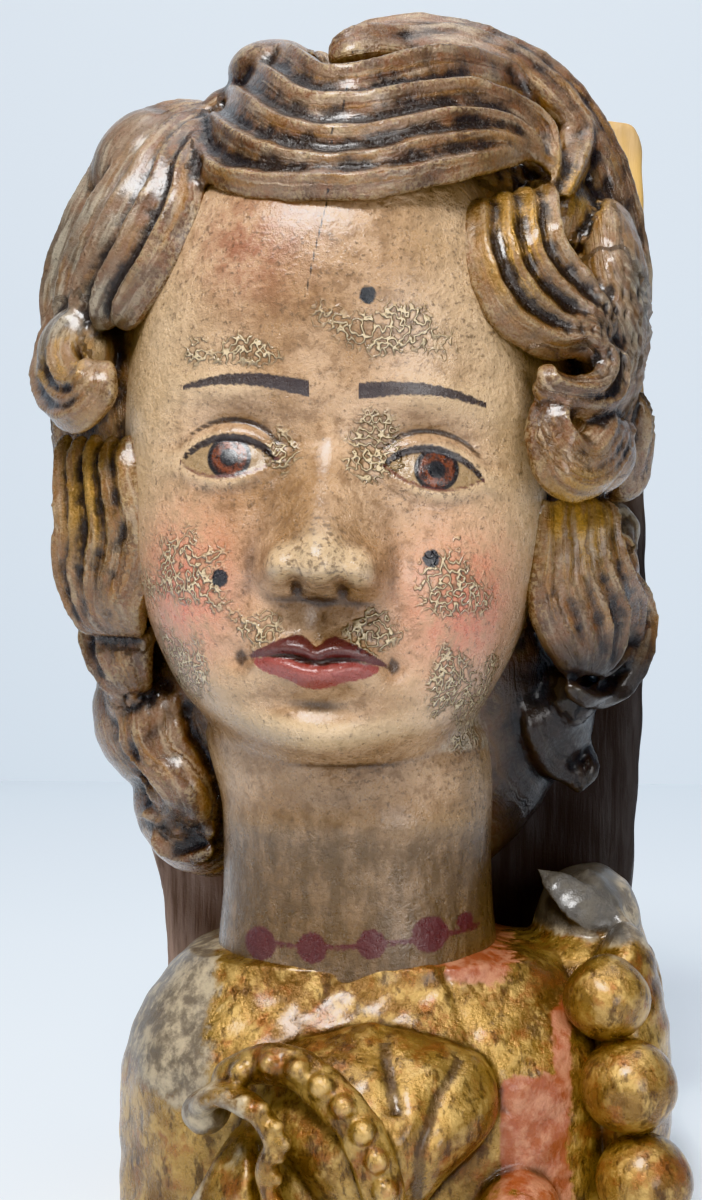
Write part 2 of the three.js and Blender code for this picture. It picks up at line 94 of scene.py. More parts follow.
def ease(value):
    value = np.clip(value, 0, 1)
    return value * value * (3 - 2 * value)


def blend_up(a, b, soft):
    """The larger of two lengths, with a soft joint."""
    share = np.clip(0.5 + 0.5 * (a - b) / soft, 0, 1)
    return b + (a - b) * share + soft * share * (1 - share)


def through(points, s):
    """Places and directions at s, from 0 to 1, on the smooth curve through the points."""
    p = np.array(points, float)
    p = np.vstack([2 * p[0] - p[1], p, 2 * p[-1] - p[-2]])
    spans = len(points) - 1
    at = np.clip(s, 0, 1) * spans
    i = np.minimum(at.astype(int), spans - 1)
    t = (at - i)[:, None]
    a, b, c, d = p[i], p[i + 1], p[i + 2], p[i + 3]
    bend, twist = 2 * a - 5 * b + 4 * c - d, 3 * b - a - 3 * c + d
    place = 0.5 * (2 * b + (c - a) * t + bend * t**2 + twist * t**3)
    way = 0.5 * ((c - a) + 2 * bend * t + 3 * twist * t**2)
    return place, way / np.maximum(np.linalg.norm(way, axis=1, keepdims=True), 1e-9)


def along(values, s):
    """A value read off evenly spaced ones."""
    return through([(v, 0.0) for v in values], s)[0][:, 0]


def shell(columns, rows, place):
    """A closed shell: a ball whose points go where place says, from their turn, fall and ring.

    turn is the angle about the ball's axis, fall runs from 0 at the top pole to 1 at the bottom one,
    and ring is 0 at the poles and 1 elsewhere.
    """
    bm = bmesh.new()
    bmesh.ops.create_uvsphere(bm, u_segments=columns, v_segments=rows, radius=1)
    mesh = bpy.data.meshes.new("shell")
    bm.to_mesh(mesh)
    bm.free()
    co = points_of(mesh)
    turn = np.arctan2(co[:, 0], -co[:, 1])
    fall = np.arccos(np.clip(co[:, 2], -1, 1)) / math.pi
    ring = np.where(np.abs(co[:, 2]) > 0.999999, 0.0, 1.0)
    set_points(mesh, place(turn, fall, ring))
    return mesh


def points_of(mesh):
    flat = np.empty(len(mesh.vertices) * 3)
    mesh.vertices.foreach_get("co", flat)
    return flat.reshape(-1, 3)


def set_points(mesh, co):
    mesh.vertices.foreach_set("co", np.asarray(co, float).ravel())
    mesh.update()


# How finely a carving is melted together: its grain in mm and the most triangles it may have
HAIR_FINENESS = (1.1, 195000)
CHEST_FINENESS = (0.9, 190000)
BLOCK_FINENESS = (1.6, 90000)


def fused(shells, grain=None, most=None):
    """One mesh of all the shells, melted together at a grain in mm, with at most so many triangles."""
    bm = bmesh.new()
    for mesh in shells:
        bm.from_mesh(mesh)
        bpy.data.meshes.remove(mesh)
    bmesh.ops.recalc_face_normals(bm, faces=bm.faces)
    mesh = bpy.data.meshes.new("carving")
    bm.to_mesh(mesh)
    bm.free()
    if grain is None:
        return mesh
    melted = modified(mesh, "REMESH", mode="VOXEL", voxel_size=grain)
    count = sum(len(face.vertices) - 2 for face in melted.polygons)
    return modified(melted, "DECIMATE", ratio=min(1, most / count), use_collapse_triangulate=True)


def modified(mesh, kind, **settings):
    """The mesh after one modifier."""
    blank = bpy.data.objects.new("blank", mesh)
    bpy.context.collection.objects.link(blank)
    modifier = blank.modifiers.new("carve", kind)
    for name, value in settings.items():
        setattr(modifier, name, value)
    ready = blank.evaluated_get(bpy.context.evaluated_depsgraph_get())
    result = bpy.data.meshes.new_from_object(ready)
    bpy.data.objects.remove(blank)
    bpy.data.meshes.remove(mesh)
    return result


def edges_of(mesh):
    ends = np.empty(len(mesh.edges) * 2, int)
    mesh.edges.foreach_get("vertices", ends)
    return ends.reshape(-1, 2)


def smoothed(co, ends, rounds, share=0.5):
    count = np.bincount(ends.ravel(), minlength=len(co))[:, None]
    for _ in range(rounds):
        near = np.zeros_like(co)
        for axis in range(3):
            near[:, axis] = np.bincount(ends[:, 0], co[ends[:, 1], axis], len(co))
            near[:, axis] += np.bincount(ends[:, 1], co[ends[:, 0], axis], len(co))
        co = co + share * (near / np.maximum(count, 1) - co)
    return co


def normals_of(mesh):
    flat = np.empty(len(mesh.vertices) * 3)
    mesh.vertices.foreach_get("normal", flat)
    return flat.reshape(-1, 3)


def keep(mesh, name, values):
    """Stores one number a point, for the material to read."""
    mesh.attributes.new(name, "FLOAT", "POINT").data.foreach_set("value", np.asarray(values, float))


def keep_relief(mesh, name="relief", rounds=14):
    """Stores how far each point stands above its surroundings, in mm: high on ridges, low in grooves."""
    co = points_of(mesh)
    gap = co - smoothed(co, edges_of(mesh), rounds)
    keep(mesh, name, (gap * normals_of(mesh)).sum(1))


def finished(name, mesh, material):
    """Turns a carved mesh to metres and makes it a piece that stands for the CAD solid."""
    mesh.transform(((MM, 0, 0, 0), (0, MM, 0, 0), (0, 0, MM, 0), (0, 0, 0, 1)))
    mesh.name = name
    mesh.polygons.foreach_set("use_smooth", [True] * len(mesh.polygons))
    mesh.materials.clear()
    mesh.materials.append(material)
    piece = bpy.data.objects.new(name, mesh)
    bpy.context.collection.objects.link(piece)
    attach(piece, "root")
    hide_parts("cherub_bust")


# The face. Each relief is in mm towards -Y, from places across and up the face in mm.


def eye_edge(x, z):
    """Distance outside the almond between the lids, and the share across it, -1 to 1."""
    across = (np.abs(x) - EYE_SIDE) / (EYE_WIDTH / 2)
    arch = np.maximum(0, 1 - across**2)
    middle = EYE_LINE - 1.0 * across
    upper = middle + 6.2 * arch**0.75
    lower = middle - 4.8 * arch**0.85
    return np.maximum(z - upper, lower - z), across, z - upper, lower - z


def eye_relief(x, z):
    outside, across, over, under = eye_edge(x, z)
    socket = -6 * swell(across, -0.25, 1.35) * swell(z, EYE_LINE + 3, 12)
    ball = 6.5 * swell(across, 0, 1.05) * swell(z, EYE_LINE, 8.5)
    near = swell(across, 0, 1.25)
    rim = 1.5 * ease((outside + 0.5) / 1.2) * np.exp(-((np.maximum(outside, 0) / 4) ** 2)) * near
    crease = -1.9 * swell(over, 4.6, 1.3) * near
    bag = -0.7 * swell(under, 4.5, 1.5) * near
    return socket + ball + rim + crease + bag


def nose_relief(x, z):
    rise = (BROW_LINE - 7 - z) / (BROW_LINE - 7 - NOSE_BASE)
    height = 18.5 * ease(rise * 0.98) ** 0.85 * ease((z - NOSE_BASE + 3.5) / 8)
    half_width = 8 + 5.5 * ease(rise * 1.1 - 0.1)
    bridge = height * np.exp(-((np.abs(x) / half_width) ** 2.4))
    tip = 3.4 * swell(x, 0, 8.5) * swell(z, NOSE_BASE + 9.5, 7.5)
    wings = 7.5 * swell(np.abs(x), 12, 4.4) * swell(z, NOSE_BASE + 6.5, 5.8)
    nostrils = -7 * swell(np.abs(x), 6, 2.4) * swell(z, NOSE_BASE + 1.2, 2.3)
    return bridge + tip + wings + nostrils


def lip_lines(x):
    parting = MOUTH_LINE - 0.8 * swell(x, 0, 4.5) + 0.7 * swell(np.abs(x), 9, 4.5) - 1.2 * (x / 19) ** 2
    body = np.maximum(0, 1 - (x / 19.5) ** 2)
    top = parting + (5.2 + 1.4 * swell(np.abs(x), 4.5, 3.2) - 1.3 * swell(x, 0, 2)) * body**0.8
    bottom = parting - 7.2 * np.maximum(0, 1 - (x / 17.5) ** 2) ** 0.7
    return parting, top, bottom, body


def mouth_relief(x, z):
    parting, top, bottom, body = lip_lines(x)
    muzzle = 3.6 * swell(x, 0, 22) * swell(z, MOUTH_LINE, 17)
    upper = 3.4 * np.sqrt(body) * swell(z, (parting + top) / 2 - 0.4, 3.0)
    lower = 3.8 * np.sqrt(body) * swell(z, (parting + bottom) / 2, 3.7) * swell(x, 0, 16)
    crease = -2.8 * np.sqrt(body) * swell(z, parting, 1.15)
    corners = -2.2 * swell(np.abs(x), 20, 3.5) * swell(z, MOUTH_LINE - 1, 3.2)
    groove = -1.1 * swell(x, 0, 2.8) * swell(z, NOSE_BASE - 7, 5)
    return muzzle + upper + lower + crease + corners + groove


def face_relief(x, z):
    brow = 2.2 * swell(np.abs(x), 24, 17) * swell(z, BROW_LINE - 1, 6)
    cheeks = 4.2 * swell(np.abs(x), 33, 17) * swell(z, NOSE_BASE + 2, 20)
    folds = -1.0 * swell(np.abs(x) - (NOSE_BASE + 4 - z) * 0.45, 18, 3.2) * swell(z, NOSE_BASE - 5, 11)
    chin = 5 * swell(x, 0, 14) * swell(z, CHIN + 12, 9)
    under_lip = -3.2 * swell(x, 0, 15) * swell(z, MOUTH_LINE - 12.5, 4.2)
    plain = brow + cheeks + folds + chin + under_lip
    return plain + eye_relief(x, z) + nose_relief(x, z) + mouth_relief(x, z)


def face_place(x, z):
    """Places across and up the leaning face."""
    lean, rise = math.sin(FACE_TILT), math.cos(FACE_TILT)
    return x * rise - (z - TILT_HEIGHT) * lean, TILT_HEIGHT + (z - TILT_HEIGHT) * rise + x * lean


def head_half_width(z):
    over = FACE_HALF_WIDTH * np.sqrt(np.maximum(0, 1 - ((z - WIDEST) / (HEAD_TOP - WIDEST)) ** 2))
    fall = np.clip((WIDEST - z) / (WIDEST - CHIN), 0, 1)
    under = FACE_HALF_WIDTH * np.maximum(0, 1 - fall**2.3) ** (1 / 2.1)
    return np.where(z > WIDEST, over, under)


def section(angle, half_width, depth, power):
    """Distance from the axis to a level section that is an ellipse with fuller corners."""
    across = (np.abs(np.sin(angle)) / np.maximum(half_width, 0.01)) ** power
    ahead = (np.abs(np.cos(angle)) / np.maximum(depth, 0.01)) ** power
    return (across + ahead) ** (-1 / power)


# Where the neck ends inside the chest, and the share of the ball's fall that closes it there
FLESH_FOOT = 50
FLESH_CAP = 0.05

# Painted marks: dark spots (across, up), the ends and height of the necklace, and its beads (across,
# up, radius)
SPOTS = [(8.1, 255.0), (-31.3, 180.8), (24.7, 186.0)]
NECKLACE_LEFT = -25
NECKLACE_RIGHT = 38
NECKLACE_HEIGHT = 80
PAINTED_BEADS = [(-23, 79.8, 4.6), (-8.2, 79.7, 4.2), (8.3, 80.9, 4.0), (24.1, 83.0, 5.0),
                 (33.7, 85.5, 2.4)]

# The drying crack (across, up), from the crown down to the forehead
CRACK = [(2.1, 318), (1.1, 307.5), (-1.6, 298.4), (-2.3, 282.7), (-5.8, 266.9), (-8.4, 253.8)]

# A distance that no painted mark and no groove reaches, and how far forward the face starts
FAR = 50
FACE_FRONT = -15


def beside(line, x, z):
    """Distance across from a line drawn down through places (across, up), and far below its end."""
    sides, heights = zip(*reversed(line))
    return np.abs(x - np.interp(z, heights, sides)) + FAR * (z < heights[0])


def flesh_place(turn, fall, ring):
    angle = turn - 0.33 * np.sin(2 * turn) * (1 - np.abs(turn) / math.pi)
    foot = np.clip((1 - fall) / FLESH_CAP, 0, 1) * ring
    rise = np.clip((1 - fall - FLESH_CAP) / (1 - FLESH_CAP), 0, 1)
    z = FLESH_FOOT + (HEAD_TOP - FLESH_FOOT) * np.sin(rise * math.pi / 2) ** 1.05
    depth = along(PROFILE, (z - CHIN) / HEAD_HEIGHT) * np.clip((z - CHIN + 4) / 12, 0, 1) ** 0.6
    head = section(angle, head_half_width(z), depth, 2.35)
    bulge = 1 + 0.04 * swell(z, COLLAR, 12) + 0.05 * swell(z, CHIN + 10, 14)
    neck = section(angle, NECK_HALF_WIDTH * bulge, NECK_FRONT * bulge, 2.2)
    neck = neck * np.clip((CHIN + 48 - z) / 34, 0, 1) ** 0.5
    reach = blend_up(head, neck, 5.0)
    ahead = ease(np.cos(angle) * 2.2)
    x = reach * np.sin(angle)
    across, up = face_place(x, z)
    raised = ahead * face_relief(across, up) * np.clip((z - CHIN + 6) / 8, 0, 1)
    folds = ahead * 1.1 * swell(z, CHIN - 11, 4.5)
    y = -reach * np.cos(angle) - raised - folds
    side = NECK_SIDE + (HEAD_SIDE - NECK_SIDE) * ease((z - CHIN + 10) / 40)
    return np.column_stack([(x + side) * foot, y * foot, z])


def keep_painting(mesh, co, x, z):
    """Stores the distances from what the painter drew: eyes, lashes, brows, lips, spots and necklace."""
    away = np.where(co[:, 1] < FACE_FRONT, 0, FAR)
    outside, across, over, under = eye_edge(x, z)
    keep(mesh, "eye", outside + away)
    iris = np.hypot(np.abs(x) - EYE_SIDE + np.where(x < 0, 0.8, -0.8), z - EYE_LINE - 0.6)
    keep(mesh, "iris", iris + away)
    by_eye = np.abs(across) < 1.12
    lash = np.abs(over + 0.3) + 2.2 * np.maximum(0, np.abs(across) - 1) ** 0.5
    keep(mesh, "lash", np.where(by_eye, lash, FAR) + away)
    keep(mesh, "lid_line", np.where(by_eye, np.abs(under), FAR) + away)
    brow_across = (np.abs(x) - 6) / 36
    along_brow = np.clip(brow_across, 0, 1)
    brow_height = BROW_LINE + 3.2 * np.sin(along_brow * 2.6) - 2.5 * along_brow
    brow_half = 2.1 * np.clip(1.1 - brow_across, 0, 1) ** 0.6
    brow = np.abs(z - brow_height) - brow_half
    keep(mesh, "brow", np.where((brow_across > 0) & (brow_across < 1), brow, FAR) + away)
    parting, top, bottom, _ = lip_lines(x)
    keep(mesh, "upper_lip", np.maximum(np.maximum(z - top, parting - z), np.abs(x) - 18.5) + away)
    keep(mesh, "lower_lip", np.maximum(np.maximum(z - parting, bottom - z), np.abs(x) - 17) + away)
    side, _, height = co.T
    spot = np.min([np.hypot(side - sx, (height - sz) * 0.9) for sx, sz in SPOTS], axis=0)
    keep(mesh, "spot", spot + away)
    bead = np.min([np.hypot(side - bx, height - bz) - r for bx, bz, r in PAINTED_BEADS], axis=0)
    string = np.abs(height - NECKLACE_HEIGHT - 0.09 * np.maximum(side, 0)) - 0.7
    string = np.where((side > NECKLACE_LEFT) & (side < NECKLACE_RIGHT), string, FAR)
    keep(mesh, "necklace", np.minimum(bead, string) + away)
    keep(mesh, "crack", beside(CRACK, side, height) + away)


def keep_skin_wear(mesh, co, x, z):
    """Stores where the skin is rosy, wrinkled, grimy and stained, and where a pale painted reflection lies
    along the sides of the face.
    """
    ahead = co[:, 1] < FACE_FRONT
    keep(mesh, "blush", swell(np.abs(x), 38, 15) * swell(z, NOSE_BASE - 2, 19) * ahead)
    keep(mesh, "neck", ease((CHIN + 6 - co[:, 2] - 0.12 * np.abs(x)) / 22))
    keep(mesh, "wrinkled", 0.5 * np.maximum.reduce([
        swell(x, 16, 22) * swell(z, BROW_LINE + 16, 9),
        swell(x, -26, 18) * swell(z, BROW_LINE + 9, 6),
        swell(np.abs(x), 38, 14) * swell(z, NOSE_BASE + 4, 14),
        swell(np.abs(x), 14, 9) * swell(z, MOUTH_LINE + 8, 7),
        swell(np.abs(x), 40, 12) * swell(z, MOUTH_LINE - 6, 16),
        swell(np.abs(x), 13, 8) * swell(z, EYE_LINE + 4, 9),
    ]))
    keep(mesh, "grime", np.maximum.reduce([
        0.9 * swell(x, 0, 14) * swell(z, NOSE_BASE + 8, 13),
        0.35 * ease((z - BROW_LINE) / 20),
        0.6 * ease((x - 10) / 30) * ease((z - BROW_LINE - 4) / 16),
        0.7 * ease((np.abs(x) - 30) / 14) * ease((CHIN + 26 - z) / 16),
        0.6 * swell(x, 14, 14) * swell(z, CHIN + 6, 9),
        0.6 * swell(np.abs(x), EYE_SIDE, 19) * swell(z, EYE_LINE - 2, 12),
    ]) * np.where(ahead, 1, 0.7))
    keep(mesh, "rouge", swell(x, -26, 16) * swell(z, 268, 16))
    # rim: the sides of the face, where a pale painted reflection of the room lies
    side = ease((np.abs(x) - 0.8 * head_half_width(z)) / 14)
    keep(mesh, "rim", side * ease((240 - z) / 30) * (z > CHIN + 12))


def flesh():
    mesh = shell(230, 380, flesh_place)
    co = points_of(mesh)
    x, z = face_place(co[:, 0] - HEAD_SIDE, co[:, 2])
    keep_painting(mesh, co, x, z)
    keep_skin_wear(mesh, co, x, z)
    keep_relief(mesh, "relief", 10)
    keep_relief(mesh, "hollow", 150)
    return mesh


# The hair. A strand follows a path of places across, up and in front of the rounded form.


def hair_form(x, z):
    rise = np.where(z > HAIR_MIDDLE, (z - HAIR_MIDDLE) / HAIR_UP, (HAIR_MIDDLE - z) / HAIR_DOWN)
    return HAIR_AXIS - HAIR_DEPTH * np.sqrt(np.maximum(0, 1 - (x / HAIR_HALF_WIDTH) ** 2 - rise**2))


# The share of a strand's length over which each end closes
BLUNT = 0.14


def blunt_ends(fall):
    """A share of full size that closes roundly at both ends."""
    near = np.clip(np.minimum(fall, 1 - fall) / BLUNT, 0, 1)
    return np.sqrt(1 - (1 - near) ** 2)


def strand(points, half_width, thickness):
    """A lock's strand: a ridge whose crest leans to one side, with a smaller roll beside it."""
    def place(turn, fall, ring):
        core, way = through(points, fall)
        outward = core - np.column_stack([0 * fall, 20 + 0 * fall, np.minimum(core[:, 2], 250)])
        side = np.cross(way, outward)
        side /= np.linalg.norm(side, axis=1, keepdims=True)
        outward = np.cross(side, way)
        taper = blunt_ends(fall) * ring
        u = np.sin(turn)
        crest = 1 - np.abs(u) ** 1.15 - 0.12 * swell(u, 0.4, 0.1)
        hollow = -0.8 * np.sqrt(np.maximum(0, 1 - u * u))
        out = np.where(np.cos(turn) > 0, crest, hollow) * along(thickness, fall) * taper
        across = along(half_width, fall) * taper * u
        return core + side * across[:, None] + outward * out[:, None]

    return shell(28, 16 * len(points), place)


def lock_strands(guides, strands, half_width, thickness, first=1):
    """Strands spread evenly from the first guide path to the last: their paths and sizes."""
    guides = np.array(guides, float)
    made = []
    for k in range(strands):
        t = k / (strands - 1)
        if len(guides) == 3:
            weights = [(1 - t) * (1 - 2 * t), 4 * t * (1 - t), t * (2 * t - 1)]
        else:
            weights = [1 - t, t]
        path = [(x, float(hair_form(x, z)) - lift, z) for x, z, lift in np.tensordot(weights, guides, 1)]
        share = first + (1 - first) * t
        made.append((path, np.multiply(half_width, share), np.multiply(thickness, share)))
    return made


# Each lock: its guide paths of (across, up, in front of the rounded form), its number of strands, their
# half width and thickness along the way, and the first strand's share of them where it is a thinner one
LOCKS = {
    "fringe": (
        [
            [(-40, 303, 0), (-34, 292, 8), (-24, 287, 12), (-9, 285, 14),
             (8, 285, 15), (25, 289, 14), (39, 294, 11), (52, 299, 4)],
            [(-36, 326, -9), (-27, 313, 3), (-16, 302, 10), (-2, 297, 13),
             (14, 299, 13), (29, 304, 12), (46, 305, 9), (57, 297, 5)],
            [(-24, 340, -13), (-15, 327, 1), (-3, 315, 8), (12, 318, 9),
             (28, 324, 8), (48, 325, 6), (66, 312, 4), (62, 287, 7)],
        ],
        5, (6, 8, 8.5, 8, 5.5), (7, 8.5, 9, 8, 6), 0.6,
    ),
    "crown": (
        [
            [(-6, 330, -3), (3, 334, 4), (16, 336, 6), (31, 337, 6),
             (48, 331, 5), (64, 317, 4), (73, 296, 2), (78, 274, 1)],
            [(-8, 338, -8), (6, 342, -2), (23, 342, 0), (42, 337, 0),
             (61, 326, -1), (76, 304, -2), (83, 278, -2), (87, 256, -2)],
        ],
        2, (6, 9, 9, 8, 6), (6, 8, 8, 7, 6),
    ),
    "left temple": (
        [
            [(-37, 310, -6), (-42, 295, 4), (-44, 281, 5), (-50, 268, 4), (-57, 259, 1), (-63, 251, -2)],
            [(-42, 325, -8), (-59, 318, -1), (-72, 303, 0), (-81, 285, 1), (-87, 268, 0), (-88, 250, 1)],
        ],
        5, (5, 6.5, 7, 6), (5, 7, 8, 6),
    ),
    "left curl": (
        [
            [(-87, 260, 1), (-90, 247, 6), (-86, 234, 9), (-75, 226, 11), (-66, 231, 10), (-65, 242, 7)],
            [(-75, 257, 4), (-79, 250, 8), (-79, 242, 11), (-75, 236, 12), (-70, 236, 12), (-69, 242, 9)],
        ],
        3, (5, 5.5, 4), (5.5, 6, 5),
    ),
    "left middle": (
        [
            [(-61, 222, -8), (-59, 208, -6), (-56, 194, -8),
             (-58, 182, -9), (-61, 174, -8), (-60, 164, -14)],
            [(-82, 224, -5), (-81, 209, -3), (-80, 196, -1),
             (-80, 184, 0), (-77, 174, -1), (-72, 164, -4)],
        ],
        5, (4, 5, 5.5, 4), (5, 6, 7, 5),
    ),
    "left knot": (
        [
            [(-55, 170, -28), (-60, 163, -18), (-60, 156, -17), (-60, 148, -20)],
            [(-78, 170, -5), (-75, 160, -5), (-70, 151, -7), (-65, 146, -14)],
        ],
        4, (3.5, 4.5, 3), (4, 5, 3),
    ),
    "left foot": (
        [
            [(-52, 150, -28), (-51, 135, -18), (-47, 128, -17), (-45, 123, -15),
             (-43, 117, -15), (-42, 110, -14), (-44, 103, -8)],
            [(-61, 150, -22), (-60, 136, -11), (-57, 130, -9), (-51, 124, -8),
             (-47, 118, -8), (-47, 113, -8), (-52, 108, -3)],
            [(-71, 150, -14), (-70, 137, -2), (-68, 130, -1), (-61, 124, -1),
             (-56, 118, 0), (-56, 113, 1), (-64, 110, 0)],
        ],
        5, (3.5, 4, 4.5, 3), (4, 5, 5, 3),
    ),
    "left fan": (
        [
            [(-54, 112, -5), (-51, 110, -6), (-46, 110, -9), (-40, 113, -16)],
            [(-60, 105, -1), (-56, 101, -1), (-48, 98, 0), (-40, 101, 0)],
        ],
        3, (2.5, 3, 2.5), (3, 4, 3),
    ),
    "right temple": (
        [
            [(38, 286, 0), (37, 272, 4), (40, 260, 6), (46, 251, 4),
             (56, 246, 2), (65, 246, 5), (70, 240, 4)],
            [(57, 292, 1), (56, 281, 5), (57, 272, 6), (61, 266, 4),
             (66, 260, 4), (70, 254, 4), (74, 247, 2)],
        ],
        4, (5, 5, 6, 6, 5), (5, 6.5, 7, 7, 6),
    ),
    "right scroll": (
        [
            [(66, 247, 6), (72, 243, 8), (71, 235, 9), (64, 232, 9), (57, 234, 8), (55, 239, 4)],
            [(70, 246, 4), (76, 241, 6), (74, 231, 7), (65, 228, 7), (57, 230, 6), (53, 235, 2)],
        ],
        2, (4, 4.5, 3.5), (4.5, 5, 4),
    ),
    "right curl": (
        [
            [(60, 230, 3), (58, 224, 7), (61, 218, 9), (65, 215, 9), (70, 219, 8), (74, 227, 5)],
            [(54, 230, 1), (54, 218, 4), (57, 209, 7), (64, 206, 8), (73, 211, 5), (81, 226, -2)],
        ],
        4, (4, 5, 5, 4), (5, 6, 6, 5),
    ),
    "right middle": (
        [
            [(56, 204, -16), (56, 190, -13), (55, 179, -12), (58, 168, -9), (62, 160, -7), (65, 154, -8)],
            [(74, 204, -6), (74, 193, -2), (77, 183, 1), (81, 174, 2), (79, 163, 4), (73, 152, 4)],
        ],
        5, (4, 4.5, 5, 4), (5, 6, 7, 5),
    ),
    "right rim": (
        [
            [(86, 173, -1), (84, 160, 2), (77, 150, 3), (69, 147, 2), (62, 151, -4)],
            [(82, 184, -2), (87, 171, 0), (85, 158, 3), (79, 148, 5), (70, 144, 2)],
        ],
        2, (3, 4, 3), (4, 5, 3.5),
    ),
    "right foot": (
        [
            [(50, 150, -30), (54, 136, -20), (58, 127, -15), (66, 121, -4), (69, 117, -3)],
            [(62, 149, -24), (65, 138, -14), (69, 131, -8), (72, 125, -4), (70, 119, -4)],
        ],
        3, (3, 3.5, 2), (3.5, 4, 2),
    ),
}

HAIR_MASSES = [
    ((-3, 18, 231), (81, 58, 101)),
    ((0, 26, 168), (74, 40, 88)),
    ((-77, -12, 245), (13, 15, 15)),
    ((-60, 13, 301), (19, 20, 22)),
    ((-66, 10, 190), (16, 24, 34)),
    ((-55, 22, 141), (25, 22, 26)),
    ((-44, 24, 116), (24, 20, 26)),
    ((60, 4, 284), (14, 22, 16)),
    ((75, 1, 258), (13, 27, 34)),
    ((69, -12, 217), (14, 15, 13)),
    ((66, 10, 180), (16, 24, 26)),
    ((57, 24, 144), (17, 24, 25)),
    ((-22, 8, 331), (15, 20, 10)),
]

# The plainer waves at the back: how many a side, their radius, and their grooves' depth and spacing
BACK_WAVES = 8
BACK_WAVE_RADIUS = 10
GROOVE_DEPTH = 0.7
GROOVE_PITCH = 4.6


def back_waves():
    """The paths of the plainer waves that run back over the crown and down the sides to the block."""
    paths = []
    for side in (-1, 1):
        for k in range(BACK_WAVES):
            angle = math.radians(6 + 118 * k / (BACK_WAVES - 1))
            points = []
            for i in range(4):
                swing = angle + 0.1 * math.sin(i * 2.1 + k)
                drop = HAIR_UP if math.cos(swing) > 0 else HAIR_DOWN
                points.append((
                    side * 0.91 * HAIR_HALF_WIDTH * math.sin(swing),
                    -2 + 58 * i / 3,
                    HAIR_MIDDLE + 0.92 * drop * math.cos(swing),
                ))
            paths.append(points)
    return paths


def back_wave(points):
    def place(turn, fall, ring):
        core = through(points, fall)[0]
        size = BACK_WAVE_RADIUS * ring * blunt_ends(fall)
        return core + np.column_stack([size * np.sin(turn), 0 * turn, size * np.cos(turn)])

    return shell(20, 24, place)


def lumps(co, height):
    """The slight unevenness that a gouge leaves."""
    x, y, z = co.T
    broad = np.sin(0.33 * x + 1.7 * np.sin(0.11 * z)) * np.sin(0.27 * z + 0.19 * y)
    return height * (broad + np.sin(0.61 * z - 0.5 * x) / 2)


def worn_pits(co):
    """How far moth and wear have eaten into the hair over the right temple."""
    region = swell(co[:, 0], 80, 12) * swell(co[:, 2], 258, 24) * ease((30 - co[:, 1]) / 20)
    groove = np.sin(co[:, 0] * 1.4 + co[:, 1] * 1.1 + 2 * np.sin(co[:, 2] * 0.21)) * np.sin(co[:, 2] * 0.5)
    return 1.3 * region * np.clip(groove, 0, 1)


def combed(mesh, paths):
    """Stores where each point lies along and across its nearest path, in mm, and which path that is."""
    samples = 60
    tree = kdtree.KDTree(samples * len(paths))
    places, ways, lengths = [], [], []
    for points in paths:
        core, way = through(points, np.linspace(0, 1, samples))
        places.append(core)
        ways.append(way)
        steps = np.linalg.norm(np.diff(core, axis=0), axis=1)
        lengths.append(np.concatenate([[0], np.cumsum(steps)]))
    places, ways, lengths = np.vstack(places), np.vstack(ways), np.concatenate(lengths)
    for i, place in enumerate(places):
        tree.insert(place, i)
    tree.balance()
    co = points_of(mesh)
    near = np.array([tree.find(place)[1] for place in co])
    gap = co - places[near]
    way = ways[near]
    forward = (gap * way).sum(1)
    side = np.cross(way, normals_of(mesh))
    sideways = (gap * side).sum(1)
    keep(mesh, "lengthways", lengths[near] + forward)
    keep(mesh, "sideways", sideways)
    keep(mesh, "strand", near // samples)
    return sideways, near // samples


def hair():
    strands = [made for lock in LOCKS.values() for made in lock_strands(*lock)]
    shells = [strand(*made) for made in strands]
    shells += [egg(centre, size) for centre, size in HAIR_MASSES]
    waves = back_waves()
    mesh = fused(shells + [back_wave(points) for points in waves], *HAIR_FINENESS)
    sideways, nearest = combed(mesh, [made[0] for made in strands] + waves)
    grooves = GROOVE_DEPTH * (nearest >= len(strands)) * np.cos(sideways * math.tau / GROOVE_PITCH)
    co = smoothed(points_of(mesh), edges_of(mesh), 2, 0.4)
    co = co + normals_of(mesh) * (lumps(co, 0.22) - worn_pits(co) + grooves - GROOVE_DEPTH / 2)[:, None]
    set_points(mesh, co)
    keep_relief(mesh)
    keep_relief(mesh, "hollow", 120)
    x, y, z = co.T
    keep(mesh, "crack", beside(CRACK, x, z) + np.where(y < -5, 0, FAR))
    # darker low on the right, beside the neck: dark paint and painted shade
    keep(mesh, "dark_paint_and_shade", ease((x - 30) / 20) * ease((172 - z) / 20))
    keep(mesh, "gilt", np.maximum.reduce([
        swell(x, 66, 12) * swell(z, 196, 14),
        swell(x, 50, 12) * swell(z, 272, 20),
        swell(x, 68, 9) * swell(z, 292, 12),
        swell(x, -80, 12) * swell(z, 243, 9),
        0.7 * swell(x, -72, 12) * swell(z, 205, 20),
    ]) * ease((10 - y) / 20))
    keep(mesh, "dull", np.maximum.reduce([
        swell(x, 84, 14) * swell(z, 258, 28),
        ease((-52 - x) / 16) * ease((z - 236) / 14),
        ease((y - 12) / 25) * ease((z - 150) / 40),
    ]))
    return mesh


# The draped chest, its leaf and its fruits. CHEST_CAP is the share of the ball's fall in each end.

CHEST_CAP = 0.1
CHEST_LEFT = 66
CHEST_RIGHT = 84
CHEST_FRONT = 53
CHEST_TOP = 74


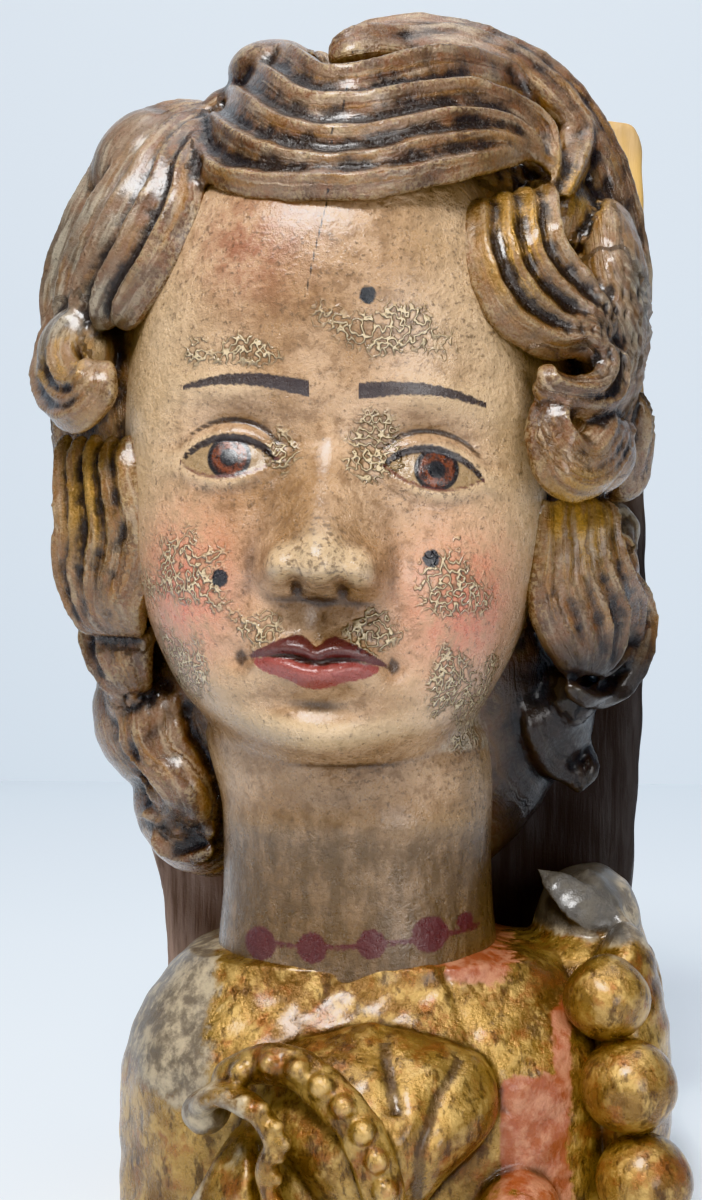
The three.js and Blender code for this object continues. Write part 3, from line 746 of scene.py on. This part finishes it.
def chest_place(turn, fall, ring):
    edge = np.clip(fall / CHEST_CAP, 0, 1) * np.clip((1 - fall) / CHEST_CAP, 0, 1)
    rise = 1 - np.clip((fall - CHEST_CAP) / (1 - 2 * CHEST_CAP), 0, 1)
    z = CHEST_TOP * rise + 7 * (1 - np.clip(fall / CHEST_CAP, 0, 1) ** 2)
    shrink = np.sqrt(np.maximum(0, 1 - (np.maximum(z - 36, 0) / 54) ** 2))
    wide = np.where(np.sin(turn) > 0, CHEST_RIGHT, CHEST_LEFT) * np.maximum(shrink, 0.6)
    ahead = np.where(np.cos(turn) > 0, CHEST_FRONT * (1 - 0.26 * ease((z - 44) / 30)), 58)
    reach = section(turn, wide, ahead, 2.3)
    folds = 1.6 * np.sin(turn * 9 + z * 0.07) * ease(np.abs(turn) - 0.7) * ease(np.cos(turn) * 3)
    off_seam = reach * np.sin(turn) - 28.6 - 0.47 * (73 - z)
    seam = -1.8 * swell(off_seam, 0, 1.3) * (z > 36) * (np.cos(turn) > 0)
    reach = (reach + folds + seam) * edge * ring
    return np.column_stack([reach * np.sin(turn), -reach * np.cos(turn), z])


def egg(centre, size, columns=48, rows=32):
    def place(turn, fall, ring):
        wide = np.sin(fall * math.pi)
        return np.column_stack([
            centre[0] + size[0] * wide * np.sin(turn),
            centre[1] - size[1] * wide * np.cos(turn),
            centre[2] + size[2] * np.cos(fall * math.pi),
        ])

    return shell(columns, rows, place)


def roll(path, half_width, thickness, facing):
    """A rounded band along a path of real places, flat towards facing."""
    def place(turn, fall, ring):
        core, way = through(path, fall)
        side = np.cross(way, facing)
        side /= np.linalg.norm(side, axis=1, keepdims=True)
        out = np.cross(side, way)
        size = blunt_ends(fall) * ring
        across = along(half_width, fall) * size * np.sin(turn)
        ahead = along(thickness, fall) * size * np.cos(turn)
        return core + side * across[:, None] + out * ahead[:, None]

    return shell(24, 14 * len(path), place)


HOOD_TOP = 62.5
HOOD_FOOT = -4
HOOD_WIDTHS = (0, 27, 33, 33, 27, 19, 13, 11, 0)
HOOD_DEPTHS = (0, 14, 22, 27, 28, 26, 23, 20, 0)
RIBS = [[(11, 64), (13, 55), (16, 43)], [(33, 55), (26, 46), (22, 34), (21, 20)]]
BEADS = 11
BEAD_LINE = [(-31, -60, 44), (-28, -65, 51), (-19, -69, 55), (-10, -73, 55), (-3, -76, 51),
             (4, -79, 45), (9, -80, 37), (12, -80, 28), (14, -79, 17), (14, -75, 5)]
BEAD_RADIUS = 3.3
LIP_LINE = [(-38, -62, 40), (-31, -71, 47), (-24, -75, 47), (-18, -77, 43), (-15, -77, 37),
            (-17, -76, 31), (-16, -74, 21), (-15, -71, 8)]
TEETH = 10
FAN_RIBS = 4


def rib_distance(x, z):
    """Distance across from the two ribs that divide the hood into lobes."""
    return np.minimum(*[beside(rib, x, z) for rib in RIBS])


def hood_place(turn, fall, ring):
    z = HOOD_TOP + (HOOD_FOOT - HOOD_TOP) * fall
    wide = along(HOOD_WIDTHS, fall)
    deep = along(HOOD_DEPTHS, fall)
    reach = section(turn, wide, deep, 2.0) * ring
    x = HOOD_CENTRE[0] + reach * np.sin(turn)
    groove = 2.2 * swell(rib_distance(x, z), 0, 2.6) * ease(np.cos(turn) * 2) * ring
    return np.column_stack([x, HOOD_CENTRE[1] - reach * np.cos(turn) + groove, z])


def leaf():
    """The lobed hood of the leaf, its beaded rib, the chipped lip that curls forward and the fan below."""
    front = (0, -1, 0)
    shells = [shell(96, 80, hood_place)]
    shells += [egg((-10, -52, 28), (17, 14, 25)), egg((48, -48, 9), (12, 16, 13))]
    shells.append(roll(BEAD_LINE, (3, 5.5, 6, 6, 5), (3, 4, 4, 4, 4), front))
    for centre in through(BEAD_LINE, (np.arange(BEADS) + 0.7) / BEADS)[0]:
        shells.append(egg(centre + (1, -4, 0.5), [BEAD_RADIUS] * 3, 16, 12))
    shells.append(roll(LIP_LINE, (3.5, 3, 3), (5, 6, 5), front))
    for k, centre in enumerate(through(LIP_LINE, (np.arange(TEETH) + 0.7) / TEETH)[0]):
        shells.append(egg(centre + (2.5, -4, 1), (2.4, 2.8, 1.6 + 0.7 * (k % 2)), 14, 10))
    shells.append(egg((-34, -62, 41), (6.5, 9, 6)))
    for k in range(FAN_RIBS):
        path = [(-26 + k, -54 - 2 * k, 35), (-32 + 3 * k, -60 - 2 * k, 20), (-45 + 8 * k, -50 - 5 * k, -2)]
        shells.append(roll(path, (2, 4, 6), (4, 6, 7), front))
    return shells


SHOULDER_FLAP = [(53, 6, 97), (60, 1, 93), (68, -3, 87), (77, -5, 80)]
SHOULDER_RIDGE = [(69, 10, 97), (75, 2, 89), (80, -4, 80), (85, -6, 74), (88, -6, 63), (90, -6, 48)]
SHOULDER_MASSES = [
    ((70, 16, 58), (23, 36, 25)),
    ((71, 20, 79), (16, 26, 17)),
    ((79, -16, 38), (13, 21, 46)),
]


def chest():
    shells = [shell(140, 90, chest_place)] + [egg(*mass) for mass in SHOULDER_MASSES]
    shells.append(roll(SHOULDER_FLAP, (1, 5.5, 7, 4), (1, 1.5, 1.5, 1), (0.1, -1, 0.5)))
    shells.append(roll(SHOULDER_RIDGE, (2, 3, 3), (3, 3, 3), (0.5, -0.8, 0)))
    mesh = fused(shells + leaf(), *CHEST_FINENESS)
    co = smoothed(points_of(mesh), edges_of(mesh), 2, 0.4)
    melted = smoothed(co, edges_of(mesh), 50)
    plainer = ease((co[:, 1] + 12) / 16) * ease((co[:, 2] - 8) / 14)
    co = co + (melted - co) * plainer[:, None] + normals_of(mesh) * lumps(co, 0.3)[:, None]
    co[:, 2] = np.maximum(co[:, 2], 0)
    set_points(mesh, co)
    keep_relief(mesh)
    keep_relief(mesh, "hollow", 120)
    x, y, z = co.T
    keep(mesh, "grey", np.maximum.reduce([
        ease((-28 - x) / 16) * ease((z - 22 - 10 * np.sin(y * 0.09 + x * 0.05)) / 25),
        ease((x - 50) / 6) * ease((z - 74) / 8) * ease((y + 32) / 12),
        swell(x, -40, 16) * swell(z, 6, 16) * ease((-50 - y) / 6),
        0.8 * swell(x, -30, 13) * swell(z, 40, 13) * ease((-60 - y) / 6),
    ]))
    keep(mesh, "bole", np.maximum.reduce([
        swell(x, 37, 13) * swell(z, 74, 4.5),
        0.8 * swell(x, 60, 3.5) * ease((70 - z) / 8) * ease((y + 52) / 4) * (y < -20),
        ease((x - 41) / 4) * ease((64 - x) / 5) * ease((50 - z) / 6) * ease((y + 62) / 8),
        swell(x, 48, 13) * swell(z, 10, 13) * ease((-46 - y) / 4),
    ]))
    keep(mesh, "vein", rib_distance(x, z) + np.where(y < -56, 0, FAR))
    # the shoulder flap: dark grey paint and painted shade
    keep(mesh, "dark_paint_and_shade", ease((x - 48) / 4) * ease((81 - x) / 4) * ease((z - 78) / 3) * ease((100 - z) / 5))
    return mesh


FRUITS = [(72.5, -34, 66, 11.8), (78, -38, 43, 13.2), (82, -40, 18, 13)]


def fruits():
    """Round fruits, each a little dented."""
    mesh = fused([egg((x, y, z), (r, r, 0.98 * r), 90, 64) for x, y, z, r in FRUITS])
    co = points_of(mesh)
    dents = np.sin(co[:, 0] * 0.31 + 1) * np.sin(co[:, 2] * 0.27) * np.sin(co[:, 1] * 0.25)
    co = co + normals_of(mesh) * (0.5 * dents)[:, None]
    set_points(mesh, co)
    keep_relief(mesh)
    for name in ("grey", "bole", "hollow", "dark_paint_and_shade"):
        keep(mesh, name, np.zeros(len(co)))
    keep(mesh, "vein", np.full(len(co), FAR))
    return mesh


def block_outline():
    left, right, top = BLOCK_LEFT, BLOCK_RIGHT, BLOCK_TOP
    return [
        (left + 8, 0), (right - 6, 0), (right - 4, 80), (right, 190),
        (right - 1, top - 9), (right - 4, top - 2), (right - 11, top),
        (left + 9, top), (left + 2, top - 3), (left, top - 9), (left, 100), (left + 5, 78),
    ]


def back_block():
    bm = bmesh.new()
    rim = [bm.verts.new((x, BLOCK_FRONT, z)) for x, z in block_outline()]
    made = bmesh.ops.extrude_face_region(bm, geom=[bm.faces.new(rim)])
    moved = [v for v in made["geom"] if isinstance(v, bmesh.types.BMVert)]
    bmesh.ops.translate(bm, verts=moved, vec=(0, BLOCK_BACK - BLOCK_FRONT, 0))
    mesh = bpy.data.meshes.new("block")
    bm.to_mesh(mesh)
    bm.free()
    mesh = fused([mesh], *BLOCK_FINENESS)
    co = smoothed(points_of(mesh), edges_of(mesh), 4, 0.5)
    x, y, z = co.T
    hollowed = ease((BLOCK_FRONT + 6 - y) / 6) * ease((x - 20) / 20) * ease((200 - z) / 40)
    gouged = 1.2 * np.sin(x * 0.14 + 1.5 * np.sin(z * 0.03)) * hollowed
    sawn = 0.25 * np.sin(z * 0.9 + 0.4 * np.sin(x * 0.05)) * ease((y - BLOCK_BACK + 4) / 4)
    chips = 0.5 * np.sin(x * 0.21 + z * 0.13) * np.sin(z * 0.17 + y * 0.3)
    co = co - normals_of(mesh) * (0.6 + gouged + sawn + chips)[:, None]
    co[:, 1] = np.minimum(co[:, 1], BLOCK_BACK)
    co[:, 2] = np.maximum(co[:, 2], 0)
    set_points(mesh, co)
    keep_relief(mesh)
    front = ease((BLOCK_FRONT + 20 - y) / 20)
    keep(mesh, "gilt", ease((z - 225) / 40) * ease((x - 30) / 20) * front)
    # painted shade on the front of the block, behind the head, hair and neck
    keep(mesh, "dark_paint_and_shade", ease((x + 10) / 40) * ease((235 - z) / 50) * ease((z - 50) / 20) * front)
    keep(mesh, "bare", ease((150 - z) / 30) * ease((-20 - x) / 20) * front)
    return mesh


# Materials. Each is laid coat by coat, as the real one was, with some coats of painted shade, highlight and
# reflection among them, and every size is in mm.

# How far apart the grain of neighbouring strands is, and how much of a bump the varnish follows
STRAND_STEP = 5.3
VARNISH_BUMP = 0.15


def linear(code):
    """A linear colour from an sRGB hex code."""
    parts = [int(code[i:i + 2], 16) / 255 for i in (1, 3, 5)]
    return [p / 12.92 if p <= 0.04045 else ((p + 0.055) / 1.055) ** 2.4 for p in parts] + [1]


def add(tree, kind, settings=(), inputs=(), output=0):
    """Adds a node with its settings and its inputs, by name or number, and gives one output.

    An input is a socket, a number, a colour's hex code or the name of a value kept on the mesh.
    """
    node = tree.nodes.new("ShaderNode" + kind)
    for name, value in dict(settings).items():
        setattr(node, name, value)
    for name, value in dict(inputs).items():
        if isinstance(value, str) and value[0] == "#":
            value = linear(value)
        elif isinstance(value, str):
            value = add(tree, "Attribute", {"attribute_name": value}, output="Fac")
        if isinstance(value, bpy.types.NodeSocket):
            tree.links.new(value, node.inputs[name])
        else:
            node.inputs[name].default_value = value
    return node.outputs[output] if len(node.outputs) else node


def coats(tree, base, layers):
    """Colours laid one over another, each with the share of it that shows."""
    for share, colour in layers:
        base = add(tree, "Mix", {"data_type": "RGBA"}, {0: share, 6: base, 7: colour}, 2)
    return base


def shows(tree, value, low, high, least=0.0, most=1.0, within=()):
    """How much of a coat shows, going softly from least at low to most at high, within other shares."""
    share = add(tree, "MapRange", {"interpolation_type": "SMOOTHSTEP"},
                {0: value, 1: low, 2: high, 3: least, 4: most})
    for other in within:
        share = add(tree, "Math", {"operation": "MULTIPLY"}, {0: share, 1: other})
    return share


def weighed(tree, start, *parts):
    """A start with some of each value added, from pairs of a value and how much of it."""
    for value, weight in parts:
        start = add(tree, "Math", {"operation": "MULTIPLY_ADD"}, {0: value, 1: weight, 2: start})
    return start


def wandering(tree, value, noise, reach):
    """A value whose edges wander to and fro with a noise."""
    return weighed(tree, -reach / 2, (value, 1), (noise, reach))


def speckle(tree, size, detail=4.0, rough=0.55, stretch=(1, 1, 1)):
    """Noise whose patches are about that many mm across."""
    where = add(tree, "TexCoord", output="Object")
    where = add(tree, "Mapping", {}, {"Vector": where, "Scale": stretch})
    inputs = {"Vector": where, "Scale": 1 / (size * MM), "Detail": detail, "Roughness": rough}
    return add(tree, "TexNoise", {}, inputs)


def squiggles(tree, size, within):
    """Thin raised worms, as on varnish that has shrunk and wrinkled, and a dark line round them that is
    dirt and painted shadow.
    """
    wave = weighed(tree, -0.5, (speckle(tree, size, 0.8, 0.4), 1))
    gap = add(tree, "Math", {"operation": "ABSOLUTE"}, {0: wave})
    return shows(tree, gap, 0.09, 0.02, within=within), shows(tree, gap, 0.2, 0.1, within=within)


def combed_noise(tree, length, width, detail=4.0):
    """Noise drawn out along the strands of hair, in patches of that length and width in mm."""
    parts = {0: weighed(tree, 0, ("lengthways", 1 / length)),
             1: weighed(tree, 0, ("sideways", 1 / width)),
             2: weighed(tree, 0, ("strand", STRAND_STEP))}
    where = add(tree, "CombineXYZ", {}, parts)
    return add(tree, "TexNoise", {}, {"Vector": where, "Scale": 1.0, "Detail": detail})


def started(name):
    material = bpy.data.materials.new(name)
    material.use_nodes = True
    material.node_tree.nodes.clear()
    return material, material.node_tree


def surfaced(tree, colour, rough, height, depth, **settings):
    """Ends a material: colour, roughness and a bump of a depth in mm, flatter in the varnish on it."""
    bump, varnish = [
        add(tree, "Bump", {}, {"Strength": 1.0, "Distance": share * depth * MM, "Height": height})
        for share in (1, VARNISH_BUMP)
    ]
    inputs = {"Base Color": colour, "Roughness": rough, "Normal": bump, "Coat Normal": varnish}
    inputs.update({name.replace("_", " "): value for name, value in settings.items()})
    add(tree, "OutputMaterial", {}, {"Surface": add(tree, "BsdfPrincipled", {}, inputs)})


# What the painter drew: the kept distance from it, where its edge is in mm, its colour and its cover
BRUSHED = [
    ("lash", 1.1, "#1c1113", 0.95),
    ("lid_line", 0.5, "#5a2a20", 0.8),
    ("brow", 0.0, "#221a21", 0.93),
    ("upper_lip", 0.0, "#4a0a12", 0.93),
    ("lower_lip", 0.0, "#85302f", 0.9),
    ("spot", 2.2, "#101820", 0.97),
    ("necklace", 0.0, "#4b1016", 0.88),
]
IRIS_EDGE = 6.0
AMBER_EDGE = 4.8
PUPIL_EDGE = 2.5
SOFT_EDGE = 0.3


def painted_flesh():
    """Oil paint over gesso under old varnish: ochre skin, glossy, wrinkled and specked with brown dirt,
    with painted shade in its hollows, painted highlights on its rounded parts and a pale painted reflection
    at its sides.
    """
    material, tree = started("oil_paint_over_gesso")
    broad, mottle, fine = speckle(tree, 30), speckle(tree, 4.5, 6, 0.72), speckle(tree, 1.5, 5, 0.7)
    streak = speckle(tree, 4, 5, 0.6, (1, 1, 0.35))
    specks = weighed(tree, 0, ("grime", 0.1), (fine, 1))
    above_neck = weighed(tree, 1, ("neck", -1))
    patches = wandering(tree, "wrinkled", speckle(tree, 16), 1)
    wrinkled = shows(tree, patches, 0.22, 0.4, within=[above_neck])
    worms, lining = squiggles(tree, 2.1, [wrinkled])
    skin = coats(tree, "#9a7650", [
        (shows(tree, broad, 0.36, 0.64), "#bd9b79"),
        (shows(tree, mottle, 0.47, 0.64, 0, 0.65), "#795735"),
        (shows(tree, mottle, 0.35, 0.6, 0.35, 1, ["grime", 0.8]), "#66492b"),
        # painted shade in the hollows of the face and a painted highlight on its rounded parts: brows,
        # cheeks, nose and chin
        (shows(tree, "hollow", -0.6, -2.8, 0, 0.65), "#64472a"),
        (shows(tree, "hollow", 0.4, 2.6, 0, 0.55), "#d8bc94"),
        (shows(tree, mottle, 0.72, 0.38, 0.25, 0.85, ["blush"]), "#c96852"),
        (shows(tree, mottle, 0.3, 0.6, 0.2, 0.75, ["rouge"]), "#834529"),
        (shows(tree, streak, 0.35, 0.6, 0.72, 1, ["neck"]), "#574022"),
        (shows(tree, specks, 0.56, 0.7, 0, 0.7), "#4a351f"),
        # a pale painted reflection along the sides of the face, where rim is kept
        (shows(tree, mottle, 0.6, 0.42, 0.1, 0.75, ["rim"]), "#b5a791"),
        # the dark line round each worm: dirt and painted shadow
        (weighed(tree, 0, (lining, 0.65)), "#523819"),
        (weighed(tree, 0, (worms, 0.85)), "#dcc59e"),
        (shows(tree, "eye", SOFT_EDGE, -SOFT_EDGE, 0, 0.8), "#8d724d"),
    ])
    eyeball = shows(tree, "eye", 0.2, -0.2)
    amber = coats(tree, "#2c150b", [(shows(tree, fine, 0.42, 0.58), "#6e3516")])
    skin = coats(tree, skin, [
        (shows(tree, "iris", edge + SOFT_EDGE, edge - SOFT_EDGE, within=[eyeball]), colour)
        for edge, colour in [(IRIS_EDGE, "#140d0c"), (AMBER_EDGE, amber), (PUPIL_EDGE, "#0c0a0d")]
    ])
    skin = coats(tree, skin, [
        (shows(tree, wandering(tree, name, fine, 2.2), edge + SOFT_EDGE, edge - SOFT_EDGE, 0, most), colour)
        for name, edge, colour, most in BRUSHED
    ])
    skin = coats(tree, skin, [
        # dirt and painted shade in the creases: lids, nostrils and the parting of the lips
        (shows(tree, "relief", -0.2, -0.7, 0, 0.85), "#2f1d10"),
        (shows(tree, "crack", 0.45, 0.15, 0, 0.9), "#1e130b"),
    ])
    rough = shows(tree, mottle, 0.3, 0.7, 0.2, 0.46)
    height = weighed(tree, 0, (worms, 3), (fine, 0.8), (mottle, 2))
    surfaced(tree, skin, rough, height, 0.8, Coat_Weight=0.7, Coat_Roughness=0.09)
    return material


def gilded_hair():
    """Gold leaf and brown glaze over red bole on carved wood: dark in the grooves with dirt and painted
    shade, gold on the arrises.
    """
    material, tree = started("glazed_gilding_on_carved_wood")
    broad, mottle, fine = speckle(tree, 20), speckle(tree, 5, 6, 0.65), speckle(tree, 1.3, 5, 0.7)
    streak, thread = combed_noise(tree, 22, 2.5), combed_noise(tree, 14, 1.4, 6)
    bright = weighed(tree, 1, ("dull", -1))
    leafed = shows(tree, streak, 0.62, 0.42, within=["gilt"])
    dust = coats(tree, "#5c4f40", [(shows(tree, thread, 0.4, 0.62), "#8f8573")])
    glaze = coats(tree, "#4d3522", [
        (shows(tree, broad, 0.38, 0.62), "#7b5f47"),
        (shows(tree, mottle, 0.46, 0.64, 0, 0.7), "#683f22"),
        (shows(tree, streak, 0.5, 0.66, 0, 0.7), "#855f31"),
        (shows(tree, thread, 0.52, 0.66, 0, 0.5), "#a39077"),
        (shows(tree, wandering(tree, "relief", fine, 4), 0.3, 1.2, 0, 0.75, [bright]), "#a8906a"),
        (leafed, "#a87f38"),
        (shows(tree, broad, 0.65, 0.4, 0.3, 0.85, ["dull"]), dust),
        # dirt and painted shade in the hollows between the locks and in the grooves between the strands
        (shows(tree, "hollow", -0.3, -3.4, 0, 0.7), "#2a1a10"),
        (shows(tree, wandering(tree, "relief", mottle, 1.5), 0.15, -0.5, 0, 0.93), "#170d07"),
        (shows(tree, fine, 0.57, 0.67, 0, 0.6), "#2a190e"),
        # dark paint and painted shade low on the right, beside the neck
        (weighed(tree, 0, ("dark_paint_and_shade", 0.9)), "#120d0a"),
        (shows(tree, "crack", 0.5, 0.2, 0, 0.9), "#150d08"),
    ])
    matt = add(tree, "Math", {"operation": "MAXIMUM"}, {0: "dull", 1: "dark_paint_and_shade"})
    rough = weighed(tree, 0, (shows(tree, fine, 0.3, 0.7, 0.16, 0.42), 1), (matt, 0.3))
    height = weighed(tree, 0, (mottle, 1), (fine, 0.6), (combed_noise(tree, 30, 1.6, 2.0), 0.8))
    metal = weighed(tree, 0.1, (leafed, 0.6))
    surfaced(tree, glaze, rough, height, 0.9, Metallic=metal, Coat_Weight=0.6, Coat_Roughness=0.12)
    return material


def worn_gilding():
    """Water gilding over red bole: bright leaf, rubbed through to bole, gesso and bare grey wood, dark in
    its hollows with dirt and painted shade.
    """
    material, tree = started("rubbed_gold_leaf_over_bole")
    broad, mottle, fine = speckle(tree, 26), speckle(tree, 6, 6, 0.65), speckle(tree, 1.4, 5, 0.7)
    rubbed = speckle(tree, 3.2, 6, 0.7, (1, 1, 0.4))
    grey = shows(tree, wandering(tree, "grey", mottle, 1.4), 0.3, 0.7)
    bole = shows(tree, wandering(tree, "bole", mottle, 1.4), 0.35, 0.65)
    chalk = coats(tree, "#5f5446", [(shows(tree, speckle(tree, 6, 8, 0.7), 0.42, 0.64), "#a2937a")])
    clay = coats(tree, "#8c4526", [(shows(tree, mottle, 0.4, 0.6), "#a56e54")])
    leaf_gold = coats(tree, "#6f4f27", [
        (shows(tree, broad, 0.4, 0.6), "#a07e45"),
        (shows(tree, mottle, 0.48, 0.62, 0, 0.7), "#bd9c5f"),
        (shows(tree, speckle(tree, 9, 8, 0.7), 0.5, 0.64, 0, 0.75), "#8a5129"),
        (shows(tree, rubbed, 0.5, 0.64, 0, 0.8), "#442d18"),
        # dirt and painted shade in the hollows
        (shows(tree, "hollow", 0.0, -3.0, 0, 0.75), "#402c1b"),
        (shows(tree, "relief", 0.3, 1.1, 0, 0.5), "#cfb07a"),
        (weighed(tree, 0, (grey, 0.95)), chalk),
        # dark grey paint and painted shade on the shoulder flap
        (weighed(tree, 0, ("dark_paint_and_shade", 0.85)), "#45423e"),
        (weighed(tree, 0, (bole, 0.9)), clay),
        (shows(tree, wandering(tree, "vein", fine, 3), 2.4, 1.0, 0, 0.8), "#513f2e"),
        # dirt and painted shade in the grooves
        (shows(tree, "relief", 0.0, -0.7, 0, 0.9), "#25160b"),
    ])
    bare = add(tree, "Math", {"operation": "MAXIMUM"}, {0: grey, 1: bole})
    rough = weighed(tree, 0, (shows(tree, mottle, 0.3, 0.7, 0.18, 0.4), 1), (bare, 0.25))
    height = weighed(tree, 0, (mottle, 1.6), (fine, 0.6))
    metal = shows(tree, bare, 0, 1, 0.6, 0)
    surfaced(tree, leaf_gold, rough, height, 0.6, Metallic=metal, Coat_Weight=0.4, Coat_Roughness=0.12)
    return material


def sawn_wood():
    """Old sawn pine: dull and grained upwards, gilded in front, darkened in front with painted shade behind
    the head, bare and pale low on the left.
    """
    material, tree = started("old_sawn_pine")
    broad, fine = speckle(tree, 40), speckle(tree, 1.4, 5, 0.7)
    grain = speckle(tree, 2.5, 5, 0.6, (1, 1, 0.06))
    wood = coats(tree, "#54443a", [
        (shows(tree, broad, 0.35, 0.65), "#75665c"),
        (weighed(tree, 0, ("bare", 0.85)), "#a08677"),
        (shows(tree, grain, 0.45, 0.68, 0, 0.45), "#3a2e26"),
        (shows(tree, broad, 0.7, 0.45, 0.5, 1, ["gilt"]), "#c29d5f"),
        # painted shade on the front of the block behind the head
        (weighed(tree, 0, ("dark_paint_and_shade", 0.88)), "#2a2421"),
    ])
    rough = shows(tree, grain, 0.3, 0.7, 0.5, 0.8)
    surfaced(tree, wood, rough, weighed(tree, 0, (grain, 1), (fine, 0.3)), 0.5)
    return material


gold = worn_gilding()
finished("painted_head_and_neck", flesh(), painted_flesh())
finished("carved_hair", hair(), gilded_hair())
finished("draped_chest", chest(), gold)
finished("string_of_fruits", fruits(), gold)
finished("block_behind", back_block(), sawn_wood())

# Floor, light and camera

BACKDROP_BEHIND = 1.3
STAGE_SIZE = 6

# Each lamp: its place, what it points at and its size, all in metres, and its power in watts
LAMPS = {
    "key": ((-0.22, -0.62, 0.98), (0, 0, 0.2), 0.35, 9.5),
    "window": ((-0.1, -0.75, 0.95), (0, 0, 0.2), 0.22, 6),
    "fill": ((0.5, -0.9, 0.3), (0, 0, 0.15), 0.4, 3.5),
    "backdrop_light": ((0, 0.2, 1.9), (0, BACKDROP_BEHIND, 0.2), 1.2, 14),
}


def stage_sheet(name, corner_turn, place):
    """A large pale sheet, level or standing."""
    bm = bmesh.new()
    bmesh.ops.create_grid(bm, x_segments=1, y_segments=1, size=STAGE_SIZE)
    bmesh.ops.rotate(bm, verts=bm.verts, matrix=Matrix.Rotation(corner_turn, 3, "X"))
    bmesh.ops.translate(bm, verts=bm.verts, vec=place)
    mesh = bpy.data.meshes.new(name)
    bm.to_mesh(mesh)
    bm.free()
    material, tree = started("matt_pale_paper")
    add(tree, "OutputMaterial", {}, {"Surface": add(tree, "BsdfDiffuse", {}, {"Color": "#e9eef3"})})
    mesh.materials.append(material)
    sheet = bpy.data.objects.new(name, mesh)
    bpy.context.collection.objects.link(sheet)


def aimed(name, data, place, aim):
    """A lamp or camera at a place, pointing at another."""
    made = bpy.data.objects.new(name, data)
    made.location = place
    made.rotation_euler = (aim - place).to_track_quat("-Z", "Y").to_euler()
    bpy.context.collection.objects.link(made)
    return made


def studio():
    stage_sheet("floor", 0, (0, 0, 0))
    stage_sheet("backdrop", math.radians(90), (0, BACKDROP_BEHIND, 0))
    world = bpy.data.worlds.new("studio")
    world.use_nodes = True
    world.node_tree.nodes["Background"].inputs["Color"].default_value = linear("#cbd7e4")
    world.node_tree.nodes["Background"].inputs["Strength"].default_value = 0.4
    scene = bpy.context.scene
    scene.world = world
    scene.view_settings.view_transform = "Khronos PBR Neutral"
    for name, (place, aim, size, power) in LAMPS.items():
        lamp = bpy.data.lights.new(name, "AREA")
        lamp.size = size
        lamp.energy = power
        aimed(name, lamp, Vector(place), Vector(aim))


CAMERA_PLACE = (30.65, -574.29, 175)
CAMERA_AIM = (3.7, -60, 175)
CAMERA_HEIGHT_ANGLE = math.radians(34)


def camera():
    lens = bpy.data.cameras.new("camera")
    lens.sensor_fit = "VERTICAL"
    lens.angle = CAMERA_HEIGHT_ANGLE
    lens.clip_start = 0.01
    eye = aimed("camera", lens, Vector(CAMERA_PLACE) * MM, Vector(CAMERA_AIM) * MM)
    bpy.context.scene.camera = eye


studio()
camera()
